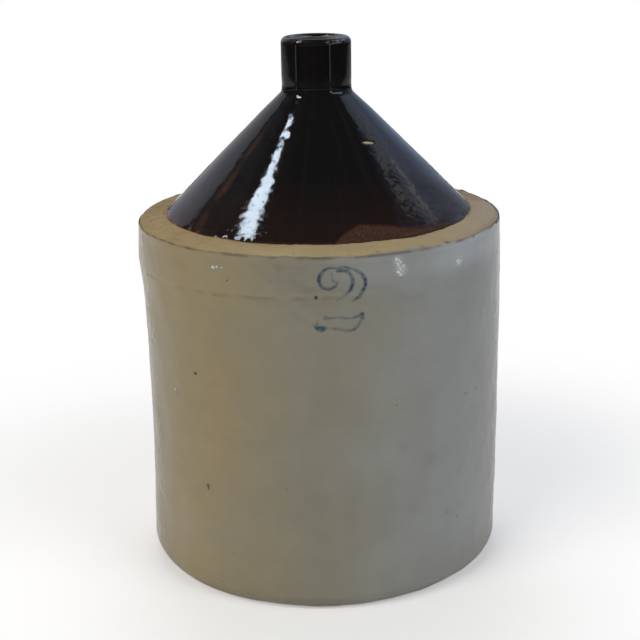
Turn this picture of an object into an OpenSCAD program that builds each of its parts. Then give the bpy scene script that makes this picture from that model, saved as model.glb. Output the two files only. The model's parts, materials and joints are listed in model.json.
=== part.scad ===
// Stoneware shoulder jug, two gallons.
// A wheel-turned pot with a flat base, closed by a moulded shoulder that carries the cone and the neck.
// The two are luted together with slip, a strap handle is luted on behind the neck,
// and the glazes are thin coats over the fired clay.
// Millimetres, +Z up. The origin is the centre of the base, on the face that the jug stands on.
// The numeral faces -Y and the handle is opposite it, on +Y.

/* [Body] */
// Outer diameter of the glazed wall
body_d = 231; // [200:1:270]
// Height of the flat ledge round the shoulder, above the base
ledge_h = 225.5; // [180:0.5:280]
// Thickness of the clay wall
wall_t = 9.5; // [7:0.5:14]
// Thickness of the clay base
base_t = 11; // [7:0.5:16]
// Radius of the rounded heel, outside
heel_r = 11; // [5:0.5:16]
// Radius of the rounded corner inside the base
floor_r = 9; // [4:0.5:18]

/* [Shoulder] */
// Thickness of the flange whose top is the ledge
flange_t = 11; // [8:0.5:16]
// Radius of the ledge's rounded outer corner
corner_r = 4; // [2:0.5:7]
// Width of the ledge, from the clay wall's outside to the foot of the cone
ledge_w = 19; // [15:0.5:28]
// Height of the cone above the ledge
cone_h = 75; // [55:1:95]
// Thickness of the cone's clay wall
cone_t = 9; // [6:0.5:12]

/* [Neck] */
// Height of the neck above the cone, to the top of the lip
neck_h = 32; // [26:0.5:50]
// Outer diameter of the neck
neck_d = 43.2; // [40:0.2:50]
// Diameter of the mouth's bore
mouth_d = 26.8; // [20:0.2:30]
// Radius of the lip's outer edge
lip_r = 3; // [1:0.5:4]
// Radius of the lip's inner edge
mouth_edge_r = 2; // [1:0.5:3]
// Radius of the hollow curve between cone and neck
neck_fillet_r = 4; // [2:0.5:8]

/* [Seam] */
// Thickness of the slip between the pot's rim and the shoulder
slip_t = 0.8; // [0.4:0.1:2]
// Radius of the finger-smoothed bead in the corner inside the seam
bead_r = 8; // [4:0.5:9]

/* [Glaze] */
// Thickness of the pale glaze on the wall
wall_coat = 0.5; // [0.3:0.05:0.8]
// Thickness of the brown glaze on cone and neck
top_coat = 0.4; // [0.2:0.05:0.8]
// Thickness of the brown glaze inside
liner_coat = 0.4; // [0.2:0.05:0.8]
// Drop from the ledge's rounded corner to the wall glaze's upper edge
bare_rim = 0.5; // [0.2:0.1:6]
// Height of the bare clay under the wall glaze's lower edge
bare_foot = 2.5; // [1:0.5:6]

/* [Handle] */
// Width of the strap
strap_w = 25; // [16:1:28]
// Thickness of the strap
strap_t = 9; // [6:0.5:12]
// Drop from the lip to the top of the strap
strap_drop = 6.5; // [4:0.5:10]
// Radius of the bend where the strap leaves the neck, at mid thickness
upper_bend_r = 24; // [21:1:28]
// Radius of the long bend down to the cone, at mid thickness
lower_bend_r = 90; // [60:5:140]
// Distance from the neck to the centre of the upper bend
strap_reach = 12.4; // [8:0.2:14]

/* [Capacity mark] */
// Height of the numeral
mark_h = 38; // [24:1:60]
// Width of the numeral's brush strokes
mark_stroke = 1.6; // [0.8:0.1:3]
// Drop from the wall glaze's upper edge to the top of the numeral
mark_drop = 6; // [3:0.5:40]
// Depth to which the colour has melted into the wall glaze
mark_depth = 0.25; // [0.1:0.05:0.25]

/* [Hidden] */

$fn = 160;

// Steps in a quarter turn of a rounded edge, in the small hollow of the neck and round the strap
quarter_steps = 10;
hollow_steps = 5;
oval_steps = 20;

// The clay surfaces that the glazes lie on
clay_r = body_d / 2 - wall_coat;
inner_r = clay_r - wall_t;
neck_r = neck_d / 2 - top_coat;
bore_r = mouth_d / 2 + liner_coat;

// Heights that follow one another from the ledge to the lip
neck_base_h = ledge_h + cone_h;
total_h = neck_base_h + neck_h;
lip_z = total_h - top_coat;

// The seam lies one flange below the ledge, with the slip between rim and shoulder
seam_z = ledge_h - flange_t;
rim_z = seam_z - slip_t;

// The cone's clay line runs from the ledge to the neck's foot
cone_r = clay_r - ledge_w;
cone_run = cone_r - neck_r;
cone_len = norm([cone_run, cone_h]);
cone_out_share = cone_h / cone_len;
cone_up_share = cone_run / cone_len;

// The heel's glaze starts at this angle from straight down, bare_foot above the base
heel_start = acos((heel_r - bare_foot) / heel_r);
glaze_top_z = ledge_h - corner_r - bare_rim;

// The strap's bends lie in the plane of Y and Z
upper_y = neck_r + strap_reach;
upper_z = total_h - strap_drop - strap_t / 2 - upper_bend_r;
lower_y = upper_y + upper_bend_r - lower_bend_r;
upper_sweep = 180;
lower_sweep = 45;

// The numeral's middle height
mark_z = glaze_top_z - mark_drop - mark_h / 2;

// The numeral's curved strokes: [x, y, radius] as shares of its height, and the angles where each ends
curl_shares = [-0.19, 0.32, 0.155];
curl_ends = [60, 330];
bowl_shares = [0.127, 0.216, 0.253];
bowl_ends = [-80, 100];
inner_bowl_shares = [0.003, 0.25, 0.19];
inner_bowl_ends = [-65, 95];

// The straight strokes run from point to point: left and right side of the slope, then round the foot
slope_shares = [
    [0.08, 0.078],
    [-0.345, -0.353],
    [-0.39, -0.434],
    [0.158, -0.49],
    [0.266, -0.442],
    [0.324, -0.276]
];
inner_slope_shares = [[0.173, -0.034], [-0.225, -0.304], [0.324, -0.276]];

// One overrun serves every cut
over = 1;

function arc(cx, cz, r, a0, a1, steps) =
    [for (i = [0:steps]) let (a = a0 + (a1 - a0) * i / steps) [cx + r * cos(a), cz + r * sin(a)]];

// Radius of the cone's line at a height, and height at a radius, moved out by a distance square to it
function cone_r_at(z, out) = cone_r - (z - ledge_h) * cone_run / cone_h + out / cone_out_share;
function cone_z_at(r, out) = ledge_h + (cone_r + out / cone_out_share - r) * cone_h / cone_run;

// The bead inside the seam is never wider than most of the shelf under the flange
shelf_w = inner_r - cone_r_at(seam_z, -cone_t);
bead_fill_share = 0.9;
bead = min(bead_r, bead_fill_share * shelf_w);

// The outside of the shoulder from the ledge to the mouth, with a coat of the given thickness on the clay
fillet_x = neck_r + neck_fillet_r;
fillet_z = cone_z_at(fillet_x, neck_fillet_r);
cone_angle = atan2(cone_up_share, cone_out_share);
function top_line(coat) = concat(
    [[cone_r_at(ledge_h, coat), ledge_h]],
    arc(fillet_x, fillet_z, neck_fillet_r - coat, 180 + cone_angle, 180, hollow_steps),
    arc(neck_r - lip_r, lip_z - lip_r, lip_r + coat, 0, 90, quarter_steps),
    arc(bore_r + mouth_edge_r, lip_z - mouth_edge_r, mouth_edge_r + coat, 90, 180, quarter_steps)
);

// The inside of the jug from the middle of the floor to the mouth, with a coat of the given thickness
function inner_line(coat) = concat(
    [[0, base_t + coat]],
    arc(inner_r - floor_r, base_t + floor_r, floor_r - coat, -90, 0, quarter_steps),
    arc(inner_r - bead, seam_z - bead, bead - coat, 0, 90, quarter_steps),
    [
        [cone_r_at(seam_z - coat, -cone_t - coat), seam_z - coat],
        [bore_r - coat, cone_z_at(bore_r - coat, -cone_t - coat)],
        [bore_r - coat, lip_z - mouth_edge_r]
    ]
);

function reversed(points) = [for (i = [len(points) - 1:-1:0]) points[i]];

// The pot: base, rounded heel, straight wall and flat rim
module crock_body() {
    color([0.62, 0.56, 0.43])
    rotate_extrude()
        polygon(concat(
            [[0, 0]],
            arc(clay_r - heel_r, heel_r, heel_r, -90, 0, quarter_steps),
            [[clay_r, rim_z], [inner_r, rim_z]],
            arc(inner_r - floor_r, base_t + floor_r, floor_r, 0, -90, quarter_steps),
            [[0, base_t]]
        ));
}

// The shoulder: flange, ledge, cone and neck in one moulding
module shoulder_top() {
    color([0.66, 0.58, 0.42])
    rotate_extrude()
        polygon(concat(
            [[clay_r, seam_z]],
            arc(clay_r - corner_r, ledge_h - corner_r, corner_r, 0, 90, quarter_steps),
            top_line(0),
            [
                [bore_r, cone_z_at(bore_r, -cone_t)],
                [cone_r_at(seam_z, -cone_t), seam_z]
            ]
        ));
}

// The slip that luted the shoulder on, with the bead smoothed into the corner inside
module luting_ring() {
    color([0.70, 0.63, 0.50])
    rotate_extrude()
        polygon(concat(
            [[clay_r, rim_z], [clay_r, seam_z], [inner_r, seam_z]],
            reversed(arc(inner_r - bead, seam_z - bead, bead, 0, 90, quarter_steps)),
            [[inner_r, rim_z]]
        ));
}

// The strap's oval section, with its thickness along x and its width along y
module strap_section() {
    polygon([
        for (i = [0:oval_steps - 1])
        let (a = 360 * i / oval_steps)
        [strap_t / 2 * cos(a), strap_w / 2 * sin(a)]
    ]);
}

// One bend of the strap about a line along X, from one angle above +Y to another
module strap_bend(y, bend_r, from, to) {
    translate([0, y, upper_z])
    rotate([90, 0, 90])
    rotate([0, 0, from])
    rotate_extrude(angle = to - from)
    translate([bend_r, 0])
        strap_section();
}

// The whole strap, running on into the neck and the cone
module strap() {
    strap_bend(upper_y, upper_bend_r, 0, upper_sweep);
    strap_bend(lower_y, lower_bend_r, -lower_sweep, 0);
}

// Everything inside the jug's outer clay surface, as one filled shape
module jug_filled() {
    rotate_extrude()
        polygon(concat([[0, 0], [clay_r, 0], [clay_r, ledge_h]], top_line(0), [[0, lip_z]]));
}

// The strap handle, seated on the neck and on the cone
module handle() {
    color([0.17, 0.10, 0.07])
    difference() {
        strap();
        jug_filled();
    }
}

// The pale coat from the heel to just under the ledge, with the numeral let into it
module wall_glaze() {
    color([0.60, 0.58, 0.50])
    difference() {
        rotate_extrude()
            polygon(concat(
                arc(clay_r - heel_r, heel_r, heel_r + wall_coat, heel_start - 90, 0, quarter_steps),
                [[clay_r + wall_coat, glaze_top_z], [clay_r, glaze_top_z]],
                arc(clay_r - heel_r, heel_r, heel_r, 0, heel_start - 90, quarter_steps)
            ));
        mark_solid();
    }
}

// The brown coat over cone, neck and lip, open where the handle sits on the clay
module top_glaze() {
    color([0.14, 0.09, 0.07])
    difference() {
        rotate_extrude()
            polygon(concat(top_line(top_coat), reversed(top_line(0))));
        strap();
    }
}

// The brown coat over the whole inside
module liner_glaze() {
    color([0.22, 0.13, 0.09])
    rotate_extrude()
        polygon(concat(inner_line(liner_coat), reversed(inner_line(0))));
}

// A curved brush stroke: part of a ring, with its middle and radius as shares of the numeral's height
module arc_stroke(shares, ends) {
    r = shares[2] * mark_h;
    reach = 2 * (r + mark_stroke);
    translate([shares[0] * mark_h, shares[1] * mark_h])
    intersection() {
        difference() {
            circle(r + mark_stroke / 2);
            circle(r - mark_stroke / 2);
        }
        polygon(concat([[0, 0]], arc(0, 0, reach, ends[0], ends[1], hollow_steps)));
    }
}

// Straight brush strokes from point to point, each point as shares of the numeral's height
module line_strokes(shares) {
    for (i = [1:len(shares) - 1]) {
        from = shares[i - 1] * mark_h;
        step = shares[i] * mark_h - from;
        translate(from)
        rotate(atan2(step[1], step[0]))
        translate([0, -mark_stroke / 2])
            square([norm(step), mark_stroke]);
    }
}

// The numeral 2 in open brush strokes, seen from the front
module numeral() {
    arc_stroke(curl_shares, curl_ends);
    arc_stroke(bowl_shares, bowl_ends);
    arc_stroke(inner_bowl_shares, inner_bowl_ends);
    line_strokes(slope_shares);
    line_strokes(inner_slope_shares);
}

// The numeral's colour, melted into the front of the wall glaze
module mark_solid() {
    intersection() {
        translate([0, 0, mark_z])
        rotate([90, 0, 0])
        linear_extrude(height = body_d / 2 + over)
            numeral();
        rotate_extrude()
        translate([clay_r + wall_coat - mark_depth, mark_z - mark_h])
            square([mark_depth, 2 * mark_h]);
    }
}

module capacity_mark() {
    color([0.18, 0.33, 0.50])
        mark_solid();
}

crock_body();
shoulder_top();
luting_ring();
handle();
wall_glaze();
top_glaze();
liner_glaze();
capacity_mark();
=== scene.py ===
"""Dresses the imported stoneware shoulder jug: clay, glazes, numeral, strap handle and a plain studio.

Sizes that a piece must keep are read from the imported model. Lengths here are millimetres until a mesh is
written, and angles are degrees. A turn is the angle round the jug from the numeral, positive towards +X.
"""

import json
import logging
import math
from dataclasses import dataclass
from enum import Enum
from typing import Any, Optional, Sequence

import bpy
import numpy as np
from mathutils import Matrix, Vector


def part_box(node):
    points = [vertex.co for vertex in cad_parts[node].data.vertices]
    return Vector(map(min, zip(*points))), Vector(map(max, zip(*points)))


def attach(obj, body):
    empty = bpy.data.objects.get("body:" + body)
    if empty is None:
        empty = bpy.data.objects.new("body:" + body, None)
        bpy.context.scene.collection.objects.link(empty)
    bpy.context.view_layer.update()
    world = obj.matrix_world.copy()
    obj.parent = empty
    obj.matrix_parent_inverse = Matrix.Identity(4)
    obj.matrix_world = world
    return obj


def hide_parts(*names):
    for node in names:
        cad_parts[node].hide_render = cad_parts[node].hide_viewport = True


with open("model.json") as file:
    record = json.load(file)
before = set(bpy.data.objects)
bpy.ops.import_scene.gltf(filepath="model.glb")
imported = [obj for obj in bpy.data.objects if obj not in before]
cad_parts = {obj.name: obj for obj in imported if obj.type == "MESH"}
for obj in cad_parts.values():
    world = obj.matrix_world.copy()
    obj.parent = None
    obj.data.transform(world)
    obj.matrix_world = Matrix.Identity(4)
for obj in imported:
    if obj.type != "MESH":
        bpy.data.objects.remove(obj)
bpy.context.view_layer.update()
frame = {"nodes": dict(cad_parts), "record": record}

LOG = logging.getLogger("jug")
MM = 0.001
BODY = "root"
PHOTO_PIXELS = 640
CAMERA_TURN = -5.8
TONE_SPAN = 1.6


class Slot(Enum):
    """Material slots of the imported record."""

    BARE_CLAY = "bare_clay"
    SLIP_CLAY = "slip_clay"
    PALE_GLAZE = "pale_glaze"
    BROWN_GLAZE = "brown_glaze"
    LINER_GLAZE = "liner_glaze"
    COBALT = "cobalt_blue"


class Paint(Enum):
    """Names of the attributes that carry a finish's changes over a piece."""

    TONE = "tone"
    STAIN_AND_SHADE = "stain"
    INK = "ink"
    THIN = "thin"
    CHIP = "chip"
    PAINTED_LIGHT = "haze"
    BLUSH = "blush"
    DIRT = "dirt"


Colour = tuple[float, float, float]
Array = np.ndarray
Socket = bpy.types.NodeSocket


def linear(red: float, green: float, blue: float) -> tuple[float, float, float, float]:
    """Turn a colour as seen on a screen, 0 to 255, into the linear colour that a shader takes.

    Args:
        red: Red share, 0 to 255.
        green: Green share, 0 to 255.
        blue: Blue share, 0 to 255.

    Returns:
        The linear colour with full alpha.
    """
    shares = [c / 255 for c in (red, green, blue)]
    values = [s / 12.92 if s <= 0.04045 else ((s + 0.055) / 1.055) ** 2.4 for s in shares]
    return (values[0], values[1], values[2], 1.0)


def smooth(values: Array, low: float, high: float) -> Array:
    """Rise smoothly from 0 at low to 1 at high; low may be above high."""
    share = np.clip((values - low) / (high - low), 0, 1)
    return share * share * (3 - 2 * share)


def hump(values: Array, middle: float, width: float) -> Array:
    """Give a round hump of height 1 at middle, that fades within about twice its width."""
    return np.exp(-(((values - middle) / width) ** 2))


def turned_by(turn: Array, middle: float) -> Array:
    """Give the signed angle from middle to each turn, in degrees, the short way round."""
    return (turn - middle + 180) % 360 - 180


@dataclass(frozen=True)
class CadSizes:
    """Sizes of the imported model, in millimetres."""

    clay_r: float
    coat_r: float
    inner_r: float
    base_t: float
    rim_z: float
    seam_z: float
    ledge_z: float
    cone_r: float
    neck_r: float
    top_z: float
    bore_r: float
    coat_foot_z: float
    coat_top_z: float
    bead_foot_z: float

    @classmethod
    def read(cls) -> "CadSizes":
        """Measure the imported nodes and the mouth's mount.

        Returns:
            The sizes.
        """
        low = {name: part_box(name)[0] / MM for name in frame["nodes"]}
        high = {name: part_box(name)[1] / MM for name in frame["nodes"]}
        mouth = next(m for m in frame["record"]["mounts"] if m["name"] == "mouth")
        top_z = high["top_glaze"].z
        return cls(
            clay_r=high["crock_body"].x,
            coat_r=high["wall_glaze"].x,
            inner_r=high["liner_glaze"].x,
            base_t=low["liner_glaze"].z,
            rim_z=high["crock_body"].z,
            seam_z=low["shoulder_top"].z,
            ledge_z=low["top_glaze"].z,
            cone_r=high["top_glaze"].x,
            neck_r=reach("top_glaze", top_z - mouth["dims"]["length_mm"] / 2, top_z),
            top_z=top_z,
            bore_r=mouth["dims"]["r_mm"],
            coat_foot_z=low["wall_glaze"].z,
            coat_top_z=high["wall_glaze"].z,
            bead_foot_z=low["luting_ring"].z,
        )


def reach(node: str, low: float, high: float) -> float:
    """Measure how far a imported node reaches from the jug's axis between two heights.

    Args:
        node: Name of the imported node.
        low: Lower height, in millimetres.
        high: Upper height, in millimetres.

    Returns:
        The largest radius there, in millimetres.
    """
    points = np.array([v.co for v in frame["nodes"][node].data.vertices], float) / MM
    inside = points[(points[:, 2] >= low) & (points[:, 2] <= high)]
    return float(np.hypot(inside[:, 0], inside[:, 1]).max())


def arc(centre_r: float, centre_z: float, radius: float, start: float, end: float, steps: int) -> Array:
    """Points of a round stretch of a profile; the angles are in degrees from straight out."""
    angles = np.radians(np.linspace(start, end, steps + 1))
    return np.stack([centre_r + radius * np.cos(angles), centre_z + radius * np.sin(angles)], 1)


def line(start: Sequence[float], end: Sequence[float], step: float) -> Array:
    """Points of a straight stretch of a profile, about a step apart."""
    shares = np.linspace(0, 1, max(1, round(math.dist(start, end) / step)) + 1)[:, None]
    return np.array(start) * (1 - shares) + np.array(end) * shares


def chain(*stretches: Array) -> Array:
    """Join stretches of a profile end to end and drop points that fall together.

    Args:
        stretches: Rows of radius and height.

    Returns:
        One list of points.
    """
    points = np.concatenate(stretches)
    apart = np.hypot(*(points[1:] - points[:-1]).T) > 1e-4
    return points[np.concatenate([[True], apart])]


@dataclass(frozen=True)
class Swell:
    """Soft random unevenness in space, made of a few seeded waves."""

    seed: int
    size: float
    waves: int = 28

    def at(self, points: Array) -> Array:
        """Measure the unevenness.

        Args:
            points: Places in millimetres, one a row.

        Returns:
            One value a place, mostly within -1.5 and 1.5.
        """
        rng = np.random.default_rng(self.seed)
        directions = rng.normal(size=(self.waves, 3))
        directions /= np.linalg.norm(directions, axis=1, keepdims=True)
        pitch = 2 * math.pi / self.size * rng.uniform(0.6, 1.5, self.waves)
        phase = rng.uniform(0, 2 * math.pi, self.waves)
        total = np.zeros(len(points))
        for direction, rate, start in zip(directions, pitch, phase):
            total += np.sin(points @ direction * rate + start)
        return total * math.sqrt(2 / self.waves)


@dataclass(frozen=True)
class UnevenForm:
    """How the thrown pot departs from a true cylinder, by the photo's outline.

    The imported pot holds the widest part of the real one, so most of the wall lies a little inside it.
    """

    cad: CadSizes
    inset: float = 1.5
    waist: float = -0.46
    wave: float = -0.28
    heel_h: float = 11.5
    lean: float = 0.56
    bow: float = 1.46
    sway: float = 0.17
    lean_turn: float = 84.2
    bulge: float = 1.5
    bulge_turn: float = -90.1
    bulge_spread: float = 26.0
    bulge_z: float = 201.0
    bulge_h: float = 15.0
    heel_wear: float = 1.5
    heel_wear_turn: float = 33.0
    heel_wear_spread: float = 36.0

    def shift(self, points: Array) -> Array:
        """Move points of the true form to where the real clay is.

        Args:
            points: Places in millimetres, one a row.

        Returns:
            The moved places.
        """
        radius = np.maximum(np.hypot(points[:, 0], points[:, 1]), 1e-6)
        height = points[:, 2]
        turn = np.degrees(np.arctan2(points[:, 0], -points[:, 1]))
        up = np.clip((height - self.heel_h) / (self.cad.ledge_z - self.heel_h), 0, 1)
        down = np.clip(1 - height / self.cad.ledge_z, 0, 1)
        out = -self.inset + self.waist * np.sin(math.pi * up) + self.wave * np.sin(2 * math.pi * up)
        out += self.bulge * hump(height, self.bulge_z, self.bulge_h) * hump(
            turned_by(turn, self.bulge_turn), 0, self.bulge_spread
        )
        out += 0.22 * Swell(11, 95).at(points)
        worn = hump(turned_by(turn, self.heel_wear_turn), 0, self.heel_wear_spread)
        out -= self.heel_wear * worn * smooth(height, self.heel_h, 2)
        side = self.lean * down + self.bow * np.sin(math.pi * down) + self.sway * np.sin(2 * math.pi * down)
        below = np.clip((self.cad.ledge_z + 0.5 - height) / 3, 0, 1)
        share = smooth(radius, self.cad.inner_r, self.cad.clay_r - 1)
        share = np.maximum(share, smooth(height, self.heel_h, self.heel_h / 2) * radius / self.cad.clay_r)
        ledge_share = smooth(radius, self.cad.cone_r + 3, self.cad.clay_r - 1)
        share = below * share + (1 - below) * ledge_share
        lean = math.radians(self.lean_turn)
        moved = points.copy()
        moved[:, 0] += share * (out * points[:, 0] / radius + side * math.sin(lean))
        moved[:, 1] += share * (out * points[:, 1] / radius - side * math.cos(lean))
        return moved


class Nodes:
    """Short ways to add nodes to a tree and to join their sockets."""

    def __init__(self, tree: bpy.types.NodeTree) -> None:
        """Take the tree to work on."""
        self.tree = tree

    def feed(self, socket: Socket, value: Any) -> None:
        """Give a socket a constant, or join it to an output.

        Args:
            socket: The input to feed.
            value: A constant, or another node's output.
        """
        if isinstance(value, Socket):
            self.tree.links.new(value, socket)
        else:
            socket.default_value = value

    def add(self, kind: str, inputs: Optional[dict[Any, Any]] = None, **settings: Any) -> bpy.types.Node:
        """Add a node.

        Args:
            kind: The node's type.
            inputs: Constants or outputs for its sockets, by name or number.
            settings: The node's own settings.

        Returns:
            The node.
        """
        node = self.tree.nodes.new(kind)
        for name, value in settings.items():
            setattr(node, name, value)
        for name, value in (inputs or {}).items():
            self.feed(node.inputs[name], value)
        return node

    def math(self, operation: str, *values: Any, clamp: bool = False) -> Socket:
        """Add a Math node and return its result."""
        node = self.add("ShaderNodeMath", dict(enumerate(values)), operation=operation, use_clamp=clamp)
        return node.outputs[0]

    def times(self, *values: Any, clamp: bool = False) -> Socket:
        """Multiply two values."""
        return self.math("MULTIPLY", *values, clamp=clamp)

    def plus(self, *values: Any, clamp: bool = False) -> Socket:
        """Add two values."""
        return self.math("ADD", *values, clamp=clamp)

    def minus(self, *values: Any) -> Socket:
        """Take the second value from the first."""
        return self.math("SUBTRACT", *values)

    def vector(self, operation: str, *values: Any) -> Socket:
        """Add a Vector Math node and return its vector, or its value for a length."""
        node = self.add("ShaderNodeVectorMath", dict(enumerate(values)), operation=operation)
        return node.outputs["Value" if operation in ("LENGTH", "DISTANCE", "DOT_PRODUCT") else "Vector"]

    def ramp(
        self, value: Any, low: float, high: float, to_low: float = 0, to_high: float = 1
    ) -> Socket:
        """Map a value smoothly from one span to another and return it."""
        inputs = {"Value": value, "From Min": low, "From Max": high, "To Min": to_low, "To Max": to_high}
        return self.add("ShaderNodeMapRange", inputs, interpolation_type="SMOOTHSTEP").outputs["Result"]

    def mix(self, share: Any, first: Any, second: Any, blend: str = "MIX") -> Socket:
        """Mix two colours, each an output, a linear colour of four shares, or a screen colour of three.

        Args:
            share: Share of the second colour.
            first: The first colour.
            second: The second colour.
            blend: The way of mixing.

        Returns:
            The mixed colour.
        """
        node = self.add("ShaderNodeMix", data_type="RGBA", blend_type=blend)
        for name, value in (("Factor_Float", share), ("A_Color", first), ("B_Color", second)):
            on_screen = isinstance(value, tuple) and len(value) == 3
            socket = next(s for s in node.inputs if s.identifier == name)
            self.feed(socket, linear(*value) if on_screen else value)
        return next(s for s in node.outputs if s.identifier == "Result_Color")

    def grey(self, value: Any) -> Socket:
        """Make a grey of a value."""
        return self.add("ShaderNodeCombineColor", {0: value, 1: value, 2: value}).outputs[0]

    def noise(
        self, vector: Any, scale: Any, detail: float = 2.0, rough: float = 0.5
    ) -> Socket:
        """Add a Noise Texture and return its value."""
        inputs = {"Vector": vector, "Scale": scale, "Detail": detail, "Roughness": rough}
        return self.add("ShaderNodeTexNoise", inputs).outputs["Fac"]

    def painted(self, paint: Paint) -> Socket:
        """Read a painted attribute and return its value."""
        return self.add("ShaderNodeAttribute", attribute_name=paint.value).outputs["Fac"]

    def place(self, group: bpy.types.NodeTree, place: Any, **values: Any) -> Socket:
        """Place a shader group with its own values.

        Args:
            group: The group, with one output.
            place: Where on the piece it looks.
            values: Its other inputs by name, underscores standing for spaces.

        Returns:
            The group's output.
        """
        node = self.tree.nodes.new("ShaderNodeGroup")
        node.node_tree = group
        for name, value in {"Place": place, **values}.items():
            self.feed(node.inputs[name.replace("_", " ")], value)
        return node.outputs[0]


def new_group(name: str, inputs: dict[str, float], output: str) -> tuple[Nodes, Any, Socket]:
    """Start a shader group.

    Args:
        name: The group's name.
        inputs: Number inputs with their defaults.
        output: Name of its value output.

    Returns:
        The group's nodes, the values it is given, and the socket that takes its result.
    """
    tree = bpy.data.node_groups.new(name, "ShaderNodeTree")
    tree.interface.new_socket(name="Place", in_out="INPUT", socket_type="NodeSocketVector")
    for title, value in inputs.items():
        socket = tree.interface.new_socket(name=title, in_out="INPUT", socket_type="NodeSocketFloat")
        socket.default_value = value
    tree.interface.new_socket(name=output, in_out="OUTPUT", socket_type="NodeSocketFloat")
    given, result = tree.nodes.new("NodeGroupInput"), tree.nodes.new("NodeGroupOutput")
    return Nodes(tree), given.outputs, result.inputs[output]


class Effects:
    """Surface effects that several finishes share, each a node group made once."""

    def __init__(self) -> None:
        """Make the groups."""
        self.turning = self._turning()
        self.dots = self._dots()
        self.peel = self._peel()
        self.clouds = self._clouds()
        self.runs = self._runs()

    def _turning(self) -> bpy.types.NodeTree:
        """Fine lines round the jug that the potter's fingers and rib left.

        Returns:
            The group.
        """
        nodes, given, result = new_group("turning_lines", {"Lines per metre": 400.0}, "Height")
        parts = nodes.add("ShaderNodeSeparateXYZ", {0: given["Place"]})
        drift = nodes.times(nodes.noise(given["Place"], 9.0, 1.0), 0.006)
        level = nodes.plus(parts.outputs["Z"], drift)
        scaled = nodes.times(level, given["Lines per metre"])
        place = nodes.add("ShaderNodeCombineXYZ", {"Z": scaled}).outputs[0]
        nodes.feed(result, nodes.noise(place, 1.0, 4.0, 0.6))
        return nodes.tree

    def _dots(self) -> bpy.types.NodeTree:
        """Small scattered dots, such as iron specks, pinholes and grog.

        Returns:
            The group.
        """
        nodes, given, result = new_group(
            "scattered_dots", {"Dots per metre": 120.0, "Dot size": 0.12, "Share kept": 0.3}, "Mask"
        )
        cells = nodes.add(
            "ShaderNodeTexVoronoi",
            {"Vector": given["Place"], "Scale": given["Dots per metre"]},
            feature="F1",
        )
        chance = nodes.add("ShaderNodeSeparateColor", {0: cells.outputs["Color"]})
        kept = nodes.math("LESS_THAN", chance.outputs[0], given["Share kept"])
        size = nodes.times(given["Dot size"], nodes.plus(chance.outputs[1], 0.4))
        inside = nodes.minus(size, cells.outputs["Distance"])
        soft = nodes.math("DIVIDE", inside, nodes.times(size, 0.5), clamp=True)
        nodes.feed(result, nodes.times(kept, soft))
        return nodes.tree

    def _peel(self) -> bpy.types.NodeTree:
        """The fine orange-peel skin of a fired glaze.

        Returns:
            The group.
        """
        nodes, given, result = new_group("glaze_peel", {"Swells per metre": 160.0, "Grit": 0.3}, "Height")
        wide = nodes.noise(given["Place"], given["Swells per metre"], 2.0, 0.45)
        fine = nodes.noise(given["Place"], nodes.times(given["Swells per metre"], 5.0), 2.0, 0.6)
        gritty = nodes.times(fine, given["Grit"])
        nodes.feed(result, nodes.plus(wide, gritty))
        return nodes.tree

    def _clouds(self) -> bpy.types.NodeTree:
        """Wide soft clouds of a colour change.

        Returns:
            The group.
        """
        inputs = {"Clouds per metre": 12.0, "Contrast": 1.0}
        nodes, given, result = new_group("colour_clouds", inputs, "Share")
        cloud = nodes.noise(given["Place"], given["Clouds per metre"], 4.0, 0.55)
        centred = nodes.times(nodes.minus(cloud, 0.5), given["Contrast"])
        nodes.feed(result, nodes.plus(centred, 0.5, clamp=True))
        return nodes.tree

    def _runs(self) -> bpy.types.NodeTree:
        """Streaks that ran straight down from the neck while the glaze was wet.

        Returns:
            The group.
        """
        nodes, given, result = new_group("glaze_runs", {"Runs round": 9.0, "Runs up": 7.0}, "Share")
        parts = nodes.add("ShaderNodeSeparateXYZ", {0: given["Place"]})
        across = {"X": parts.outputs["X"], "Y": parts.outputs["Y"]}
        flat = nodes.add("ShaderNodeCombineXYZ", across).outputs[0]
        facing = nodes.vector("NORMALIZE", flat)
        inputs = {0: facing, "Scale": given["Runs round"]}
        wide = nodes.add("ShaderNodeVectorMath", inputs, operation="SCALE")
        level = nodes.times(parts.outputs["Z"], given["Runs up"])
        high = nodes.add("ShaderNodeCombineXYZ", {"Z": level}).outputs[0]
        place = nodes.vector("ADD", wide.outputs["Vector"], high)
        nodes.feed(result, nodes.noise(place, 1.0, 3.0, 0.55))
        return nodes.tree


@dataclass(frozen=True)
class Finish:
    """A finish of the jug: it makes one material."""

    name: str

    def start(self) -> tuple[bpy.types.Material, Nodes, Socket]:
        """Start the material.

        Returns:
            The material, its nodes and the object coordinates.
        """
        material = bpy.data.materials.new(self.name)
        material.use_nodes = True
        nodes = Nodes(material.node_tree)
        return material, nodes, nodes.add("ShaderNodeTexCoord").outputs["Object"]

    def cover(
        self, nodes: Nodes, colour: Any, rough: Any, height: Any, depth: float, specular: float = 0.5
    ) -> None:
        """Feed the surface shader.

        Args:
            nodes: The material's nodes.
            colour: The colour.
            rough: The roughness.
            height: Height of the fine relief, mostly 0 to 1.
            depth: Depth of that relief, in millimetres.
            specular: Strength of the reflection, with 0.5 for a plain clear surface.
        """
        shader = nodes.tree.nodes["Principled BSDF"]
        inputs = {"Height": height, "Distance": depth * MM, "Strength": 1.0}
        normal = nodes.add("ShaderNodeBump", inputs).outputs["Normal"]
        for name, value in (("Base Color", colour), ("Roughness", rough), ("Normal", normal)):
            nodes.feed(shader.inputs[name], value)
        shader.inputs["Specular IOR Level"].default_value = specular


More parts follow.
